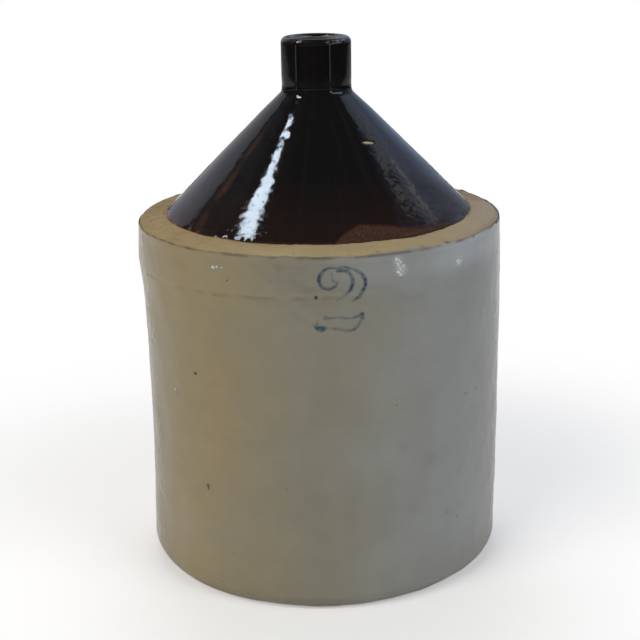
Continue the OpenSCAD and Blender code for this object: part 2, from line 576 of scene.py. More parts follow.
@dataclass(frozen=True)
class BareClay(Finish):
    """Unglazed fired stoneware, with sandy grain, pits, dust and a warm blush beside the brown glaze."""

    clay: Colour = (155, 140, 108)
    dark: Colour = (133, 118, 89)
    blush: Colour = (140, 98, 56)
    dirt: Colour = (60, 50, 38)
    grey: Colour = (139, 129, 119)
    roughness: float = 0.82
    specular: float = 0.25

    def make(self, effects: Effects) -> bpy.types.Material:
        """Build the material.

        Args:
            effects: The shared effects.

        Returns:
            The material.
        """
        material, nodes, place = self.start()
        cloud = nodes.place(effects.clouds, place, Clouds_per_metre=28.0, Contrast=1.6)
        grain = nodes.noise(place, 1500.0, 3.0, 0.7)
        pits = nodes.place(effects.dots, place, Dots_per_metre=420.0, Dot_size=0.22, Share_kept=0.12)
        lines = nodes.place(effects.turning, place, Lines_per_metre=500.0)
        colour = nodes.mix(cloud, self.dark, self.clay)
        colour = nodes.mix(nodes.ramp(grain, 0.35, 0.75, 0.0, 0.28), colour, self.dark)
        # Greyer towards +X: painted cool light on the jug's right side.
        side = nodes.add("ShaderNodeSeparateXYZ", {0: place}).outputs["X"]
        colour = nodes.mix(nodes.ramp(side, 0.03, 0.11, 0.0, 0.7), colour, self.grey)
        colour = nodes.mix(nodes.painted(Paint.BLUSH), colour, self.blush)
        smudge = nodes.plus(nodes.painted(Paint.DIRT), nodes.times(pits, 0.55))
        colour = nodes.mix(nodes.math("MINIMUM", smudge, 1.0), colour, self.dirt)
        height = nodes.plus(nodes.times(grain, 0.5), nodes.times(lines, 0.5))
        height = nodes.minus(height, pits)
        self.cover(nodes, colour, self.roughness, height, 0.16, self.specular)
        return material


@dataclass(frozen=True)
class PaleGlaze(Finish):
    """Satin feldspar glaze, tan to grey to cool grey: partly its own colour, partly painted warm and cool
    light, with a painted highlight as its palest tone.
    """

    tan: Colour = (125, 112, 81)
    grey: Colour = (110, 107, 94)
    cool: Colour = (120, 122, 120)
    painted_highlight: Colour = (150, 155, 157)
    stain: Colour = (80, 68, 46)
    iron: Colour = (44, 36, 26)
    cobalt: Colour = (20, 50, 66)
    roughness: float = 0.24

    def make(self, effects: Effects) -> bpy.types.Material:
        """Build the material.

        Args:
            effects: The shared effects.

        Returns:
            The material.
        """
        material, nodes, place = self.start()
        cloud = nodes.place(effects.clouds, place, Clouds_per_metre=16.0, Contrast=1.3)
        fine = nodes.place(effects.clouds, place, Clouds_per_metre=70.0, Contrast=1.0)
        lines = nodes.place(effects.turning, place, Lines_per_metre=260.0)
        peel = nodes.place(effects.peel, place, Swells_per_metre=220.0, Grit=0.12)
        specks = nodes.place(effects.dots, place, Dots_per_metre=150.0, Dot_size=0.07, Share_kept=0.10)
        shift = nodes.times(nodes.minus(cloud, 0.5), 0.30)
        tone = nodes.plus(nodes.times(nodes.painted(Paint.TONE), TONE_SPAN), shift)
        # Tan, grey, cool and the palest colour follow the painted tone: partly the glaze's colour, partly
        # painted warm light on the left and cool light on the right; the palest is a painted highlight.
        colour = nodes.mix(nodes.ramp(tone, 0.0, 0.5), self.tan, self.grey)
        colour = nodes.mix(nodes.ramp(tone, 0.5, 1.0), colour, self.cool)
        colour = nodes.mix(nodes.ramp(tone, 1.0, TONE_SPAN), colour, self.painted_highlight)
        mottle_and_floor_light = nodes.plus(nodes.times(lines, 0.10), nodes.times(fine, 0.12))
        blotches = nodes.place(effects.clouds, place, Clouds_per_metre=34.0, Contrast=1.2)
        mottle_and_floor_light = nodes.plus(mottle_and_floor_light, nodes.times(blotches, 0.10))
        # Lighter towards the bottom of the wall: painted light from the floor.
        height_up = nodes.add("ShaderNodeSeparateXYZ", {0: place}).outputs["Z"]
        mottle_and_floor_light = nodes.plus(mottle_and_floor_light, nodes.ramp(height_up, 0.075, 0.02, 0.84, 0.94))
        colour = nodes.mix(1.0, colour, nodes.grey(mottle_and_floor_light), "MULTIPLY")
        # Stains, with painted ground shadow and painted side shade.
        colour = nodes.mix(nodes.painted(Paint.STAIN_AND_SHADE), colour, self.stain)
        colour = nodes.mix(nodes.times(specks, 0.7), colour, self.iron)
        blots = nodes.ramp(nodes.noise(place, 420.0, 3.0, 0.6), 0.35, 0.65, 0.60, 1.25)
        ink = nodes.times(nodes.painted(Paint.INK), blots, clamp=True)
        colour = nodes.mix(ink, colour, self.cobalt)
        gloss = nodes.plus(nodes.times(nodes.minus(fine, 0.5), 0.10), self.roughness)
        height = nodes.plus(nodes.times(lines, 0.35), nodes.times(peel, 0.5))
        height = nodes.minus(height, nodes.times(specks, 0.4))
        self.cover(nodes, colour, gloss, height, 0.07)
        return material


@dataclass(frozen=True)
class BrownGlaze(Finish):
    """Glossy near-black slip glaze, brown where it ran thin, dull and sandy where it barely covers."""

    deep: Colour = (11, 10, 11)
    brown: Colour = (54, 34, 24)
    olive: Colour = (30, 27, 21)
    dull: Colour = (50, 30, 20)
    sand: Colour = (104, 76, 54)
    clay: Colour = (150, 138, 110)
    haze: Colour = (112, 111, 108)
    roughness: float = 0.05
    specular: float = 0.4

    def make(self, effects: Effects) -> bpy.types.Material:
        """Build the material.

        Args:
            effects: The shared effects.

        Returns:
            The material.
        """
        material, nodes, place = self.start()
        runs = nodes.place(effects.runs, place, Runs_round=8.0, Runs_up=5.0)
        thin_runs = nodes.place(effects.runs, place, Runs_round=21.0, Runs_up=9.0)
        peel = nodes.place(effects.peel, place, Swells_per_metre=330.0, Grit=0.25)
        grit = nodes.noise(place, 800.0, 3.0, 0.75)
        crumbs = nodes.place(effects.dots, place, Dots_per_metre=700.0, Dot_size=0.34, Share_kept=0.45)
        specks = nodes.place(effects.dots, place, Dots_per_metre=160.0, Dot_size=0.05, Share_kept=0.14)
        pits = nodes.place(effects.dots, place, Dots_per_metre=380.0, Dot_size=0.22, Share_kept=0.16)
        height_up = nodes.add("ShaderNodeSeparateXYZ", {0: place}).outputs["Z"]
        low = nodes.ramp(height_up, 0.262, 0.226)
        colour = nodes.mix(nodes.ramp(runs, 0.5, 0.75, 0.0, 0.09), self.deep, self.brown)
        colour = nodes.mix(nodes.ramp(thin_runs, 0.5, 0.75, 0.0, 0.18), colour, self.olive)
        colour = nodes.mix(nodes.times(low, 0.20), colour, self.brown)
        colour = nodes.mix(nodes.times(specks, 0.8), colour, self.sand)
        worn = nodes.plus(nodes.painted(Paint.THIN), nodes.times(nodes.minus(grit, 0.5), 0.3))
        bare = nodes.ramp(worn, 0.42, 0.58)
        edge = nodes.ramp(nodes.painted(Paint.THIN), 0.06, 0.40, 0.0, 0.70)
        colour = nodes.mix(edge, colour, self.brown)
        sand_grit = nodes.ramp(grit, 0.5, 0.75, 0, 0.6)
        sandy = nodes.math("MAXIMUM", nodes.times(crumbs, 0.5), sand_grit)
        dull = nodes.mix(nodes.ramp(grit, 0.5, 0.3, 0.0, 0.8), self.dull, self.deep)
        colour = nodes.mix(bare, colour, nodes.mix(sandy, dull, self.sand))
        chipped = nodes.ramp(nodes.painted(Paint.CHIP), 0.4, 0.6)
        colour = nodes.mix(chipped, colour, self.clay)
        # Painted glints on the lip and painted light inside the mouth, pale and dull.
        colour = nodes.mix(nodes.painted(Paint.PAINTED_LIGHT), colour, self.haze)
        dulled = nodes.math("MAXIMUM", bare, nodes.math("MAXIMUM", chipped, nodes.painted(Paint.PAINTED_LIGHT)))
        gloss = nodes.ramp(dulled, 0.0, 1.0, self.roughness, 0.6)
        rough_low = nodes.ramp(low, 0.0, 1.0, 0.35, 1.0)
        skin = nodes.times(peel, rough_low)
        skin = nodes.minus(skin, nodes.times(nodes.times(pits, low), 0.9))
        skin = nodes.plus(skin, nodes.times(nodes.times(grit, bare), 1.5))
        self.cover(nodes, colour, gloss, skin, 0.05, self.specular)
        return material


@dataclass(frozen=True)
class SlipClay(Finish):
    """Fine pale slip, smoothed with a finger and never glazed."""

    pale: Colour = (168, 153, 124)
    dark: Colour = (140, 124, 96)

    def make(self, effects: Effects) -> bpy.types.Material:
        """Build the material.

        Args:
            effects: The shared effects.

        Returns:
            The material.
        """
        material, nodes, place = self.start()
        cloud = nodes.place(effects.clouds, place, Clouds_per_metre=40.0, Contrast=1.4)
        lines = nodes.place(effects.turning, place, Lines_per_metre=800.0)
        self.cover(nodes, nodes.mix(cloud, self.dark, self.pale), 0.9, lines, 0.15)
        return material


@dataclass(frozen=True)
class LinerGlaze(Finish):
    """The brown glaze that was swilled round the inside, thinner and browner than outside."""

    deep: Colour = (26, 19, 16)
    brown: Colour = (62, 42, 30)

    def make(self, effects: Effects) -> bpy.types.Material:
        """Build the material.

        Args:
            effects: The shared effects.

        Returns:
            The material.
        """
        material, nodes, place = self.start()
        runs = nodes.place(effects.runs, place, Runs_round=6.0, Runs_up=6.0)
        peel = nodes.place(effects.peel, place, Swells_per_metre=140.0, Grit=0.4)
        colour = nodes.mix(nodes.ramp(runs, 0.4, 0.65), self.deep, self.brown)
        self.cover(nodes, colour, nodes.ramp(runs, 0.4, 0.65, 0.34, 0.5), peel, 0.15)
        return material


@dataclass(frozen=True)
class Finishes:
    """All the jug's materials."""

    bare_clay: bpy.types.Material
    slip_clay: bpy.types.Material
    pale_glaze: bpy.types.Material
    brown_glaze: bpy.types.Material
    liner_glaze: bpy.types.Material

    @classmethod
    def make(cls) -> "Finishes":
        """Build every material once.

        Returns:
            The materials.
        """
        effects = Effects()
        return cls(
            bare_clay=BareClay("buff_stoneware").make(effects),
            slip_clay=SlipClay("fine_luting_slip").make(effects),
            pale_glaze=PaleGlaze("pale_satin_glaze").make(effects),
            brown_glaze=BrownGlaze("brown_gloss_glaze").make(effects),
            liner_glaze=LinerGlaze("inside_brown_glaze").make(effects),
        )


class GeometryTree(Nodes):
    """A Geometry Nodes tree with named inputs, run once on an object and then taken off."""

    def __init__(self, name: str, inputs: dict[str, str]) -> None:
        """Start the tree.

        Args:
            name: The tree's name.
            inputs: Socket types of its inputs, by name.
        """
        super().__init__(bpy.data.node_groups.new(name, "GeometryNodeTree"))
        face = self.tree.interface
        face.new_socket(name="Geometry", in_out="INPUT", socket_type="NodeSocketGeometry")
        self.keys = {
            title: face.new_socket(name=title, in_out="INPUT", socket_type=kind).identifier
            for title, kind in {**inputs, "Finish": "NodeSocketMaterial"}.items()
        }
        face.new_socket(name="Geometry", in_out="OUTPUT", socket_type="NodeSocketGeometry")
        self.given = self.tree.nodes.new("NodeGroupInput").outputs
        self.result = self.tree.nodes.new("NodeGroupOutput")

    def close(self, geometry: Socket) -> None:
        """End the tree: real meshes only, shaded smooth, in the given finish.

        Args:
            geometry: The finished geometry.
        """
        shaded = self.add("GeometryNodeSetShadeSmooth", {"Geometry": geometry}).outputs[0]
        real = self.add("GeometryNodeRealizeInstances", {"Geometry": shaded}).outputs[0]
        dressed = self.add("GeometryNodeSetMaterial", {"Geometry": real, "Material": self.given["Finish"]})
        self.feed(self.result.inputs["Geometry"], dressed.outputs[0])

    def named(self, title: str, kind: str) -> Socket:
        """Read a named attribute of the geometry at hand."""
        node = self.add("GeometryNodeInputNamedAttribute", {"Name": title}, data_type=kind)
        return next(s for s in node.outputs if s.enabled and s.name == "Attribute")

    def sampled(self, geometry: Any, value: Any, index: Any, kind: str) -> Socket:
        """Read a value of a geometry at an index.

        Args:
            geometry: The geometry that is read.
            value: What is read there.
            index: Number of the point.
            kind: The value's data type.

        Returns:
            The value.
        """
        node = self.add("GeometryNodeSampleIndex", {"Geometry": geometry}, data_type=kind, domain="POINT")
        self.feed(node.inputs["Value"], value)
        self.feed(node.inputs["Index"], index)
        return node.outputs["Value"]

    def run(self, name: str, source: bpy.types.Mesh, values: dict[str, Any]) -> bpy.types.Object:
        """Run the tree on a mesh and keep the result as a plain object.

        Args:
            name: Name of the finished piece.
            source: The mesh that the tree works on.
            values: Values of its named inputs.

        Returns:
            An object with the finished mesh and no modifier.
        """
        worker = bpy.data.objects.new(name + "_source", source)
        bpy.context.scene.collection.objects.link(worker)
        modifier = worker.modifiers.new("shape", "NODES")
        modifier.node_group = self.tree
        for title, value in values.items():
            modifier[self.keys[title]] = value
        graph = bpy.context.evaluated_depsgraph_get()
        graph.update()
        mesh = bpy.data.meshes.new_from_object(
            worker.evaluated_get(graph), preserve_all_data_layers=True, depsgraph=graph
        )
        worker.modifiers.remove(modifier)
        bpy.data.objects.remove(worker)
        mesh.name = name
        return put(name, mesh)


def put(name: str, mesh: bpy.types.Mesh) -> bpy.types.Object:
    """Put a mesh in the scene as an object at the origin.

    Args:
        name: The object's name.
        mesh: Its mesh.

    Returns:
        The object.
    """
    piece = bpy.data.objects.new(name, mesh)
    bpy.context.scene.collection.objects.link(piece)
    return piece


def store(mesh: bpy.types.Mesh, title: str, values: Array) -> None:
    """Store an attribute on a mesh.

    Args:
        mesh: The mesh.
        title: The attribute's name.
        values: A number or a vector for each point.
    """
    kind, field = ("FLOAT_VECTOR", "vector") if values.ndim == 2 else ("FLOAT", "value")
    layer = mesh.attributes.new(title, kind, "POINT")
    layer.data.foreach_set(field, values.astype(np.float32).ravel())


def point_mesh(
    points: Array, values: Optional[dict[str, Array]] = None, starts: Sequence[int] = ()
) -> bpy.types.Mesh:
    """Make a mesh of one or more lines of points, with attributes.

    Args:
        points: Places in metres, one a row.
        values: Attributes, a number or a vector a point.
        starts: Numbers of the points where another line starts.

    Returns:
        The mesh.
    """
    mesh = bpy.data.meshes.new("points")
    edges = [(i - 1, i) for i in range(1, len(points)) if i not in starts]
    mesh.from_pydata([tuple(p) for p in points], edges, [])
    for title, numbers in (values or {}).items():
        store(mesh, title, numbers)
    return mesh


def grid_faces(rows: int, columns: int, closed: bool) -> list[tuple[int, ...]]:
    """Join a grid of points, numbered row by row, with four-cornered faces.

    Args:
        rows: Number of rows.
        columns: Points in each row.
        closed: Whether each row's last point is joined to its first.

    Returns:
        Point numbers of each face.
    """
    steps = [(i, (i + 1) % columns) for i in range(columns if closed else columns - 1)]
    starts = range(0, (rows - 1) * columns, columns)
    return [(r + i, r + j, r + columns + j, r + columns + i) for r in starts for i, j in steps]


class Wheel(GeometryTree):
    """Turns a profile round the jug's axis, as the potter's wheel does."""

    MERGE = 1e-6

    def __init__(self) -> None:
        """Build the tree: a grid whose rows follow the profile and whose columns go round."""
        super().__init__("potters_wheel", {"Segments": "NodeSocketInt", "Closed": "NodeSocketBool"})
        profile = {"Geometry": self.given["Geometry"]}
        count = self.add("GeometryNodeAttributeDomainSize", profile, component="MESH").outputs["Point Count"]
        rows = self.plus(count, self.given["Closed"])
        columns = self.plus(self.given["Segments"], 1)
        grid = self.add("GeometryNodeMeshGrid", {"Vertices X": columns, "Vertices Y": rows})
        index = self.add("GeometryNodeInputIndex").outputs[0]
        column = self.math("FLOOR", self.math("DIVIDE", self.plus(index, 0.5), rows))
        row = self.minus(index, self.times(column, rows))
        source = self.math("MODULO", self.math("ROUND", row), count)
        position = self.add("GeometryNodeInputPosition").outputs[0]
        sample = self.sampled(self.given["Geometry"], position, source, "FLOAT_VECTOR")
        parts = self.add("ShaderNodeSeparateXYZ", {0: sample}).outputs
        angle = self.times(self.math("DIVIDE", column, self.given["Segments"]), 2 * math.pi)
        across = self.times(parts["X"], self.math("SINE", angle))
        back = self.times(parts["X"], self.math("COSINE", angle))
        place = self.add("ShaderNodeCombineXYZ", {"X": across, "Y": back, "Z": parts["Z"]}).outputs[0]
        turned = self.add("GeometryNodeSetPosition", {"Geometry": grid.outputs["Mesh"], "Position": place})
        welding = {"Geometry": turned.outputs[0], "Distance": self.MERGE}
        self.close(self.add("GeometryNodeMergeByDistance", welding).outputs[0])

    def turn(
        self, name: str, profile: Array, segments: int, finish: bpy.types.Material, closed: bool = True
    ) -> bpy.types.Object:
        """Turn one piece.

        Args:
            name: The piece's name.
            profile: Rows of radius and height, in millimetres.
            segments: Columns round the jug.
            finish: The piece's material.
            closed: False where both ends of the profile lie on the axis.

        Returns:
            The piece, with faces outwards.
        """
        points = np.stack([profile[:, 0], np.zeros(len(profile)), profile[:, 1]], 1) * MM
        piece = self.run(name, point_mesh(points), {"Segments": segments, "Closed": closed, "Finish": finish})
        face_outwards(piece.data)
        return piece


class BrushMarks(GeometryTree):
    """Keeps the faces of a patch of wall that a brush stroke covers, and stores how strong its colour is."""

    STEP = 0.0002

    def __init__(self) -> None:
        """Build the tree: each point of the patch takes width and strength from the nearest stroke."""
        super().__init__("brush_marks", {"Strokes": "NodeSocketObject", "Faintest": "NodeSocketFloat"})
        info = self.add("GeometryNodeObjectInfo", {"Object": self.given["Strokes"]}).outputs["Geometry"]
        curves = self.add("GeometryNodeMeshToCurve", {"Mesh": info}).outputs[0]
        rounded = self.add("GeometryNodeCurveSplineType", {"Curve": curves}, spline_type="CATMULL_ROM")
        fine = self.add("GeometryNodeResampleCurve", mode="LENGTH")
        self.feed(fine.inputs["Curve"], rounded.outputs[0])
        self.feed(fine.inputs["Length"], self.STEP)
        dots = self.add("GeometryNodeCurveToMesh", {"Curve": fine.outputs[0]}).outputs[0]
        flat = self.named("flat", "FLOAT_VECTOR")
        looking = {"Geometry": dots, "Sample Position": flat}
        nearest = self.add("GeometryNodeSampleNearest", looking).outputs[0]
        position = self.add("GeometryNodeInputPosition").outputs[0]
        spot = self.sampled(dots, position, nearest, "FLOAT_VECTOR")
        width = self.sampled(dots, self.named("width", "FLOAT"), nearest, "FLOAT")
        strength = self.sampled(dots, self.named("strength", "FLOAT"), nearest, "FLOAT")
        away = self.math("DIVIDE", self.vector("DISTANCE", flat, spot), width)
        ink = self.times(strength, self.ramp(away, 1.0, 0.25))
        inputs = {"Geometry": self.given["Geometry"], "Name": Paint.INK.value, "Value": ink}
        stored = self.add("GeometryNodeStoreNamedAttribute", inputs, data_type="FLOAT", domain="POINT")
        faint = self.math("LESS_THAN", self.named(Paint.INK.value, "FLOAT"), self.given["Faintest"])
        inputs = {"Geometry": stored.outputs[0], "Selection": faint}
        self.close(self.add("GeometryNodeDeleteGeometry", inputs, domain="FACE").outputs[0])


class Grains(GeometryTree):
    """Sets a small flat lens on each of a list of points, turned and stretched at random."""

    def __init__(self) -> None:
        """Build the tree."""
        inputs = {"Seed": "NodeSocketInt", "Thickness": "NodeSocketFloat"}
        super().__init__("glaze_grains", inputs)
        ball = self.add("GeometryNodeMeshIcoSphere", {"Radius": 1.0, "Subdivisions": 2}).outputs["Mesh"]
        normal, length = self.named("normal", "FLOAT_VECTOR"), self.named("size", "FLOAT")
        aim = self.add("FunctionNodeAlignRotationToVector", {"Vector": normal}, axis="Z")
        spin = self.add("FunctionNodeRandomValue", {"Seed": self.given["Seed"]}, data_type="FLOAT")
        self.feed(next(s for s in spin.inputs if s.enabled and s.name == "Max"), 2 * math.pi)
        angle = next(s for s in spin.outputs if s.enabled)
        own = self.add("ShaderNodeCombineXYZ", {"Z": angle}).outputs[0]
        turned = self.add("FunctionNodeRotateRotation", {"Rotation": aim.outputs[0], "Rotate By": own})
        turned.rotation_space = "LOCAL"
        narrow = self.times(length, 0.7)
        thin = self.times(length, self.given["Thickness"])
        scale = self.add("ShaderNodeCombineXYZ", {"X": length, "Y": narrow, "Z": thin}).outputs[0]
        points = self.add("GeometryNodeMeshToPoints", {"Mesh": self.given["Geometry"]}).outputs[0]
        inputs = {"Points": points, "Instance": ball, "Rotation": turned.outputs[0], "Scale": scale}
        self.close(self.add("GeometryNodeInstanceOnPoints", inputs).outputs[0])


def read_points(mesh: bpy.types.Mesh) -> Array:
    """Read a mesh's points, in millimetres.

    Args:
        mesh: The mesh.

    Returns:
        Places, one a row.
    """
    flat = np.empty(len(mesh.vertices) * 3, np.float32)
    mesh.vertices.foreach_get("co", flat)
    return flat.reshape(-1, 3).astype(float) / MM


def face_outwards(mesh: bpy.types.Mesh) -> None:
    """Turn a closed mesh's faces round if they point inwards.

    Args:
        mesh: The mesh.
    """
    mesh.calc_loop_triangles()
    corners = np.empty(len(mesh.loop_triangles) * 3, np.int32)
    mesh.loop_triangles.foreach_get("vertices", corners)
    first, second, third = read_points(mesh)[corners.reshape(-1, 3)].transpose(1, 0, 2)
    if np.einsum("ij,ij->i", first, np.cross(second, third)).sum() < 0:
        mesh.flip_normals()


class Surface:
    """A piece's points, for modelling by hand: it moves them and paints attributes on them."""

    def __init__(self, piece: bpy.types.Object) -> None:
        """Read the piece."""
        self.mesh = piece.data
        self.points = read_points(self.mesh)

    @property
    def radius(self) -> Array:
        """Distance of each point from the axis."""
        return np.hypot(self.points[:, 0], self.points[:, 1])

    @property
    def turn(self) -> Array:
        """Angle of each point round the jug from the numeral."""
        return np.degrees(np.arctan2(self.points[:, 0], -self.points[:, 1]))

    @property
    def height(self) -> Array:
        """Height of each point."""
        return self.points[:, 2]

    def normals(self) -> Array:
        """Outward direction at each point.

        Returns:
            Directions, one a row.
        """
        self.save()
        flat = np.empty(len(self.mesh.vertices) * 3, np.float32)
        self.mesh.vertex_normals.foreach_get("vector", flat)
        return flat.reshape(-1, 3).astype(float)

    def push(self, distance: Array) -> None:
        """Move each point outwards by its own distance."""
        self.points = self.points + self.normals() * distance[:, None]

    def save(self) -> None:
        """Write the points back to the mesh."""
        self.mesh.vertices.foreach_set("co", (self.points * MM).astype(np.float32).ravel())
        self.mesh.update()

    def paint(self, paint: Paint, values: Array) -> None:
        """Store an attribute, one number a point."""
        store(self.mesh, paint.value, np.clip(values, 0, 1))


def finish_piece(piece: bpy.types.Object, slot: Slot, *nodes: str) -> None:
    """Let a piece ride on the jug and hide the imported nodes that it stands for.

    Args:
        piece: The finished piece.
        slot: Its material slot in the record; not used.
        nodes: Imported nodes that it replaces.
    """
    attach(piece, BODY)
    if nodes:
        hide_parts(*nodes)
    LOG.info("%s: %d faces", piece.name, len(piece.data.polygons))


@dataclass(frozen=True)
class Pot:
    """The clay pot and the slip that lutes the shoulder on it."""

    cad: CadSizes
    form: UnevenForm
    heel_r: float = 11.0
    floor_r: float = 9.0
    bead_r: float = 8.0
    wall_step: float = 6.0
    segments: int = 256
    foot_hollow: float = 0.5
    wire_pitch: float = 5.0

    def clay_profile(self) -> Array:
        """Profile of the pot from the middle of its underside round to the middle of its floor.

        Returns:
            Rows of radius and height.
        """
        cad = self.cad
        heel = cad.clay_r - self.heel_r
        corner = cad.inner_r - self.floor_r
        return chain(
            line((0, 0), (heel, 0), 3.0),
            arc(heel, self.heel_r, self.heel_r, -90, 0, 20),
            line((cad.clay_r, self.heel_r), (cad.clay_r, cad.rim_z), self.wall_step),
            line((cad.clay_r, cad.rim_z), (cad.inner_r, cad.rim_z), self.wall_step),
            line((cad.inner_r, cad.rim_z), (cad.inner_r, cad.base_t + self.floor_r), self.wall_step),
            arc(corner, cad.base_t + self.floor_r, self.floor_r, 0, -90, 8),
            line((corner, cad.base_t), (0, cad.base_t), self.wall_step),
        )

    def slip_profile(self) -> Array:
        """Profile of the slip: a thin sheet under the flange, and the bead inside the corner.

        Returns:
            Rows of radius and height.
        """
        cad = self.cad
        bead = min(self.bead_r, cad.seam_z - cad.bead_foot_z)
        return chain(
            line((cad.clay_r, cad.rim_z), (cad.clay_r, cad.seam_z), self.wall_step),
            line((cad.clay_r, cad.seam_z), (cad.inner_r, cad.seam_z), self.wall_step),
            arc(cad.inner_r - bead, cad.seam_z - bead, bead, 90, 0, 10),
            line((cad.inner_r, cad.seam_z - bead), (cad.inner_r, cad.rim_z), self.wall_step)[:-1],
            np.array([[cad.inner_r, cad.rim_z]]),
        )

    def build(self, wheel: Wheel, finishes: Finishes) -> None:
        """Turn the pot and the slip, and dress them.

        Args:
            wheel: The turning tree.
            finishes: The materials.
        """
        pot = wheel.turn("pot_clay", self.clay_profile(), self.segments, finishes.bare_clay, closed=False)
        surface = Surface(pot)
        under = (surface.height < 0.01) & (surface.radius < self.cad.clay_r - self.heel_r + 0.01)
        hollow = self.foot_hollow * smooth(surface.radius, self.cad.clay_r - self.heel_r - 4, 60)
        slant = surface.points[:, 0] + 0.004 * surface.points[:, 1] ** 2
        wire = 0.12 * (1 + np.sin(slant * 2 * math.pi / self.wire_pitch)) * (hollow > 0.05)
        surface.points[:, 2] += np.where(under, hollow + wire, 0)
        surface.points = self.form.shift(surface.points)
        chipped = 0.35 * np.clip(Swell(5, 16).at(surface.points) - 1.1, 0, 1) * (surface.height < 6)
        surface.push(-chipped)
        surface.points[:, 2] = np.maximum(surface.points[:, 2], 0)
        surface.save()
        surface.paint(Paint.DIRT, 0.5 * smooth(surface.height, 2.5, 0) * (surface.radius > 60))
        surface.paint(Paint.BLUSH, 0.25 * smooth(surface.height, 6, 1))
        finish_piece(pot, Slot.BARE_CLAY, "crock_body")
        slip = wheel.turn("luting_slip", self.slip_profile(), 192, finishes.slip_clay)
        surface = Surface(slip)
        surface.points = self.form.shift(surface.points)
        surface.save()
        finish_piece(slip, Slot.SLIP_CLAY, "luting_ring")


@dataclass(frozen=True)
class Mark:
    """A small knock, drop or spot at a turn and a height."""

    turn: float
    height: float
    width: float
    depth: float = 1.0

    def spot(
        self, turn: Array, radius: Any, height: Array, tall: Optional[float] = None
    ) -> Array:
        """Soft spot of strength 1 in its middle; tall is its own height where it isn't round."""
        across = turned_by(turn, self.turn) * np.radians(1) * radius / self.width
        return np.exp(-(across**2) - ((height - self.height) / (tall or self.width)) ** 2)


